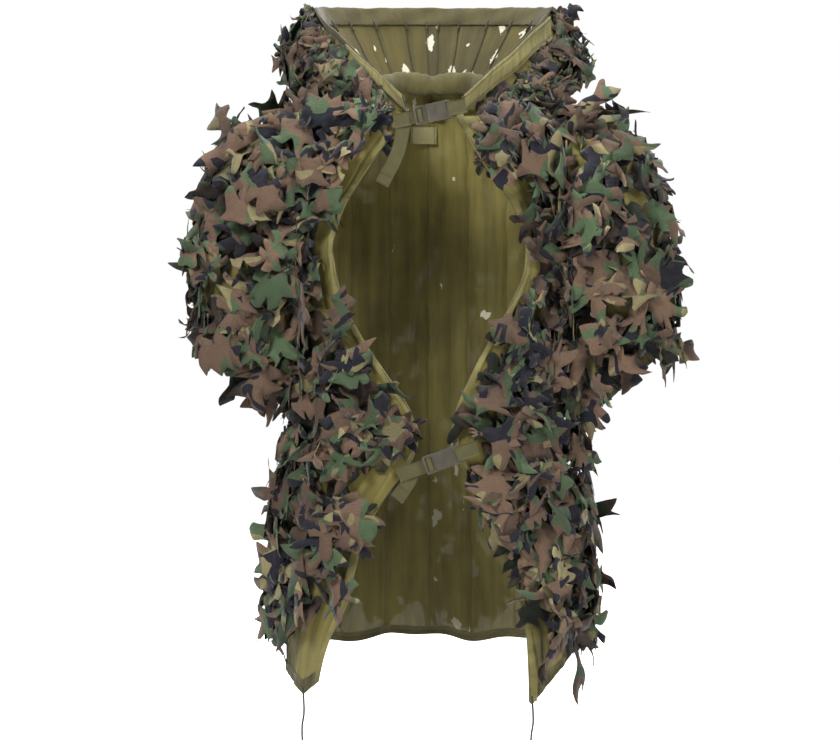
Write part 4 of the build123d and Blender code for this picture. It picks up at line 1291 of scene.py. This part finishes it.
# webbing, woven on ribbons that follow the straps' places on each buckle
for prefix, sizes in BUCKLES.items():
    turn, lean = math.radians(sizes["tilt"]), math.radians(sizes["lean"])
    along, over = np.array([math.cos(turn), 0, math.sin(turn)]), np.array([0, -1.0, 0])
    wide = np.array([-math.sin(turn), 0, math.cos(turn)])
    middle = np.array(sizes["at"], float)

    def place(pairs):
        """Points of the buckle's long section: distance along it and in front of its middle."""
        return np.array([middle + along * u + over * w for u, w in pairs])

    start = -sizes["strap"]
    loaded = [(start, BEHIND - 1), (start * 0.7, BEHIND + 0.6), (-26, BEHIND - 0.4), (-12, BEHIND),
              (-9, BEHIND + 0.2), (-7.3, -LIP), (SLOTS[0], 0), (SLOTS[0] - 0.7, OVER), (-10, OVER + 0.1),
              (SLOTS[1] + 0.7, OVER), (SLOTS[1], 0), (SLOTS[1] - 0.6, -LIP + 0.4), (-17, -LIP), (-23, -LIP)]
    strap = ribbon(f"{prefix}_webbing_adjuster", bow(place(loaded), 5), wide)
    pull = ("garment", f"{prefix}_male", *(tuple(place([(u, 0)])[0] * MM) for u in (start + 4, -24)))
    finish_piece(strap, WEBBING, pull, (f"{prefix}_load_strap", f"{prefix}_strap_wrap"))

    end = 36 + sizes["fixed"]
    looped = [(end, 1.6), (end - 8, 2.4), (41, 4.7), (36, 4.95), (32.4, 4.9), (31, 3.6), (31, 0), (31, -3.6),
              (32.4, -4.9), (36, -4.95), (41, -4.6), (end - 8, 0.2), (end, -0.8)]
    strap = ribbon(f"{prefix}_webbing_loop", bow(place(looped), 5), wide)
    finish_piece(strap, WEBBING, "garment", (f"{prefix}_fixed_strap",))

    down = np.array([-math.sin(lean), 0, -math.cos(lean)])
    aside = np.array([math.cos(lean), 0, -math.sin(lean)])
    root = place([(-35, BEHIND - 2 * WEB)])[0]
    share = np.linspace(0, 1, 40)
    bend = sizes["sway"] * (np.sin(math.pi * share) * (1 - 0.4 * share))
    path = root + down * (share * sizes["tail"])[:, None] + aside * bend[:, None]
    path += over * (2.2 * np.sin(4.5 * share) * share)[:, None]
    path = np.vstack([root - down * 3 + aside * -1, path])
    run = np.gradient(path, axis=0)
    across = np.cross(run, over)
    across /= np.linalg.norm(across, axis=1, keepdims=True)
    hung = ribbon(f"{prefix}_webbing_tail", path, across)
    folded = path[-int(TAIL_FOLD / (sizes["tail"] / 39)) - 1:]
    fold_across = across[-len(folded):]
    front = ribbon("fold", folded + over * (WEB + 0.3), fold_across, WEB_WIDTH + 1)
    tip = np.stack([folded[-1] + down * (2.1 * math.cos(a)) + over * (0.95 + 0.95 * math.sin(a))
                    for a in np.linspace(-math.pi / 2, math.pi / 2, 9)])
    tip = ribbon("fold_tip", tip, fold_across[-1], WEB_WIDTH + 1)
    hung = join(f"{prefix}_webbing_tail", [hung, front, tip])
    finish_piece(hung, WEBBING, f"{prefix}_tail", (f"{prefix}_tail_strap",))

for side, sign in SIDES:
    low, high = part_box(f"corner_cord_{side}")
    top = np.array([(low.x + high.x) / 2, (low.y + high.y) / 2, high.z]) / MM
    path = [top + (0, 0, 16), top + (1.5, 0, -20), top + (-1.5, 1, -45), top + (0.5, 0, -(high.z - low.z) / MM + 1)]
    cord = tube(f"corner_cord_{side}", bow(path), 1.4, 1.4, 10, up=(0, 1, 0))
    finish_piece(cord, CORD, f"cord_{side}", (f"corner_cord_{side}",))

# ---------------------------------------------------------------- floor, light and camera
FLOOR_GLOW = 0.92  # lifts the floor to the white of the studio, for the camera only
floor_mesh = mesh_object("floor", [(-9000, -6000, 0), (9000, -6000, 0), (9000, 9000, 0), (-9000, 9000, 0)],
                         [(0, 1, 2, 3)])
n = Nodes("floor_paper")
place = n.add("ShaderNodeTexCoord").outputs["Object"]
paper = n.mix(n.noise(place, 2.0, 3), (0.93, 0.93, 0.93, 1), (0.96, 0.96, 0.96, 1))
strength = n.times(n.add("ShaderNodeLightPath").outputs["Is Camera Ray"], FLOOR_GLOW)
glow = n.add("ShaderNodeEmission", {"Color": (1, 1, 1, 1), "Strength": strength}).outputs[0]
matt = n.add("ShaderNodeBsdfDiffuse", {"Color": paper}).outputs[0]
finish_piece(floor_mesh, n.output(n.add("ShaderNodeAddShader", {0: glow, 1: matt}).outputs[0]))

world = bpy.data.worlds.new("studio")
bpy.context.scene.world = world
world.use_nodes = True
tree = world.node_tree
tree.nodes.clear()
choose = tree.nodes.new("ShaderNodeMixShader")
tree.links.new(tree.nodes.new("ShaderNodeLightPath").outputs["Is Camera Ray"], choose.inputs[0])
# 1: the fill light that falls on the object, 2: the white the camera sees
for socket, colour, strength in ((1, (1, 0.99, 0.97, 1), 0.1), (2, (1, 1, 1, 1), 1.0)):
    sky = tree.nodes.new("ShaderNodeBackground")
    sky.inputs[0].default_value = colour
    sky.inputs[1].default_value = strength
    tree.links.new(sky.outputs[0], choose.inputs[socket])
tree.links.new(choose.outputs[0], tree.nodes.new("ShaderNodeOutputWorld").inputs[0])


def softbox(name, place, target, size, power):
    """A large area lamp aimed at a point."""
    lamp = bpy.data.lights.new(name, "AREA")
    lamp.size = size
    lamp.energy = power
    made = bpy.data.objects.new(name, lamp)
    made.location = place
    made.rotation_euler = (Vector(target) - Vector(place)).to_track_quat("-Z", "Y").to_euler()
    bpy.context.scene.collection.objects.link(made)


softbox("key", (-1.4, -2.6, 2.9), (0, 0, 0.7), 0.8, 128)
softbox("side", (2.2, -2.4, 2.0), (0, 0, 0.6), 0.7, 62)
softbox("top", (0, -0.1, 3.0), (0, 0, 0.8), 1.0, 52)
softbox("back", (0.8, 2.8, 2.2), (0, 0, 0.7), 1.0, 55)

camera_data = bpy.data.cameras.new("camera")
camera_data.sensor_width, camera_data.lens = 36, 85.7
camera = bpy.data.objects.new("camera", camera_data)
camera.location = (-0.0195, -3.0, 0.567)
camera.rotation_euler = (math.pi / 2, 0, 0)
bpy.context.scene.collection.objects.link(camera)
bpy.context.scene.camera = camera
bpy.context.scene.view_settings.view_transform = "Standard"
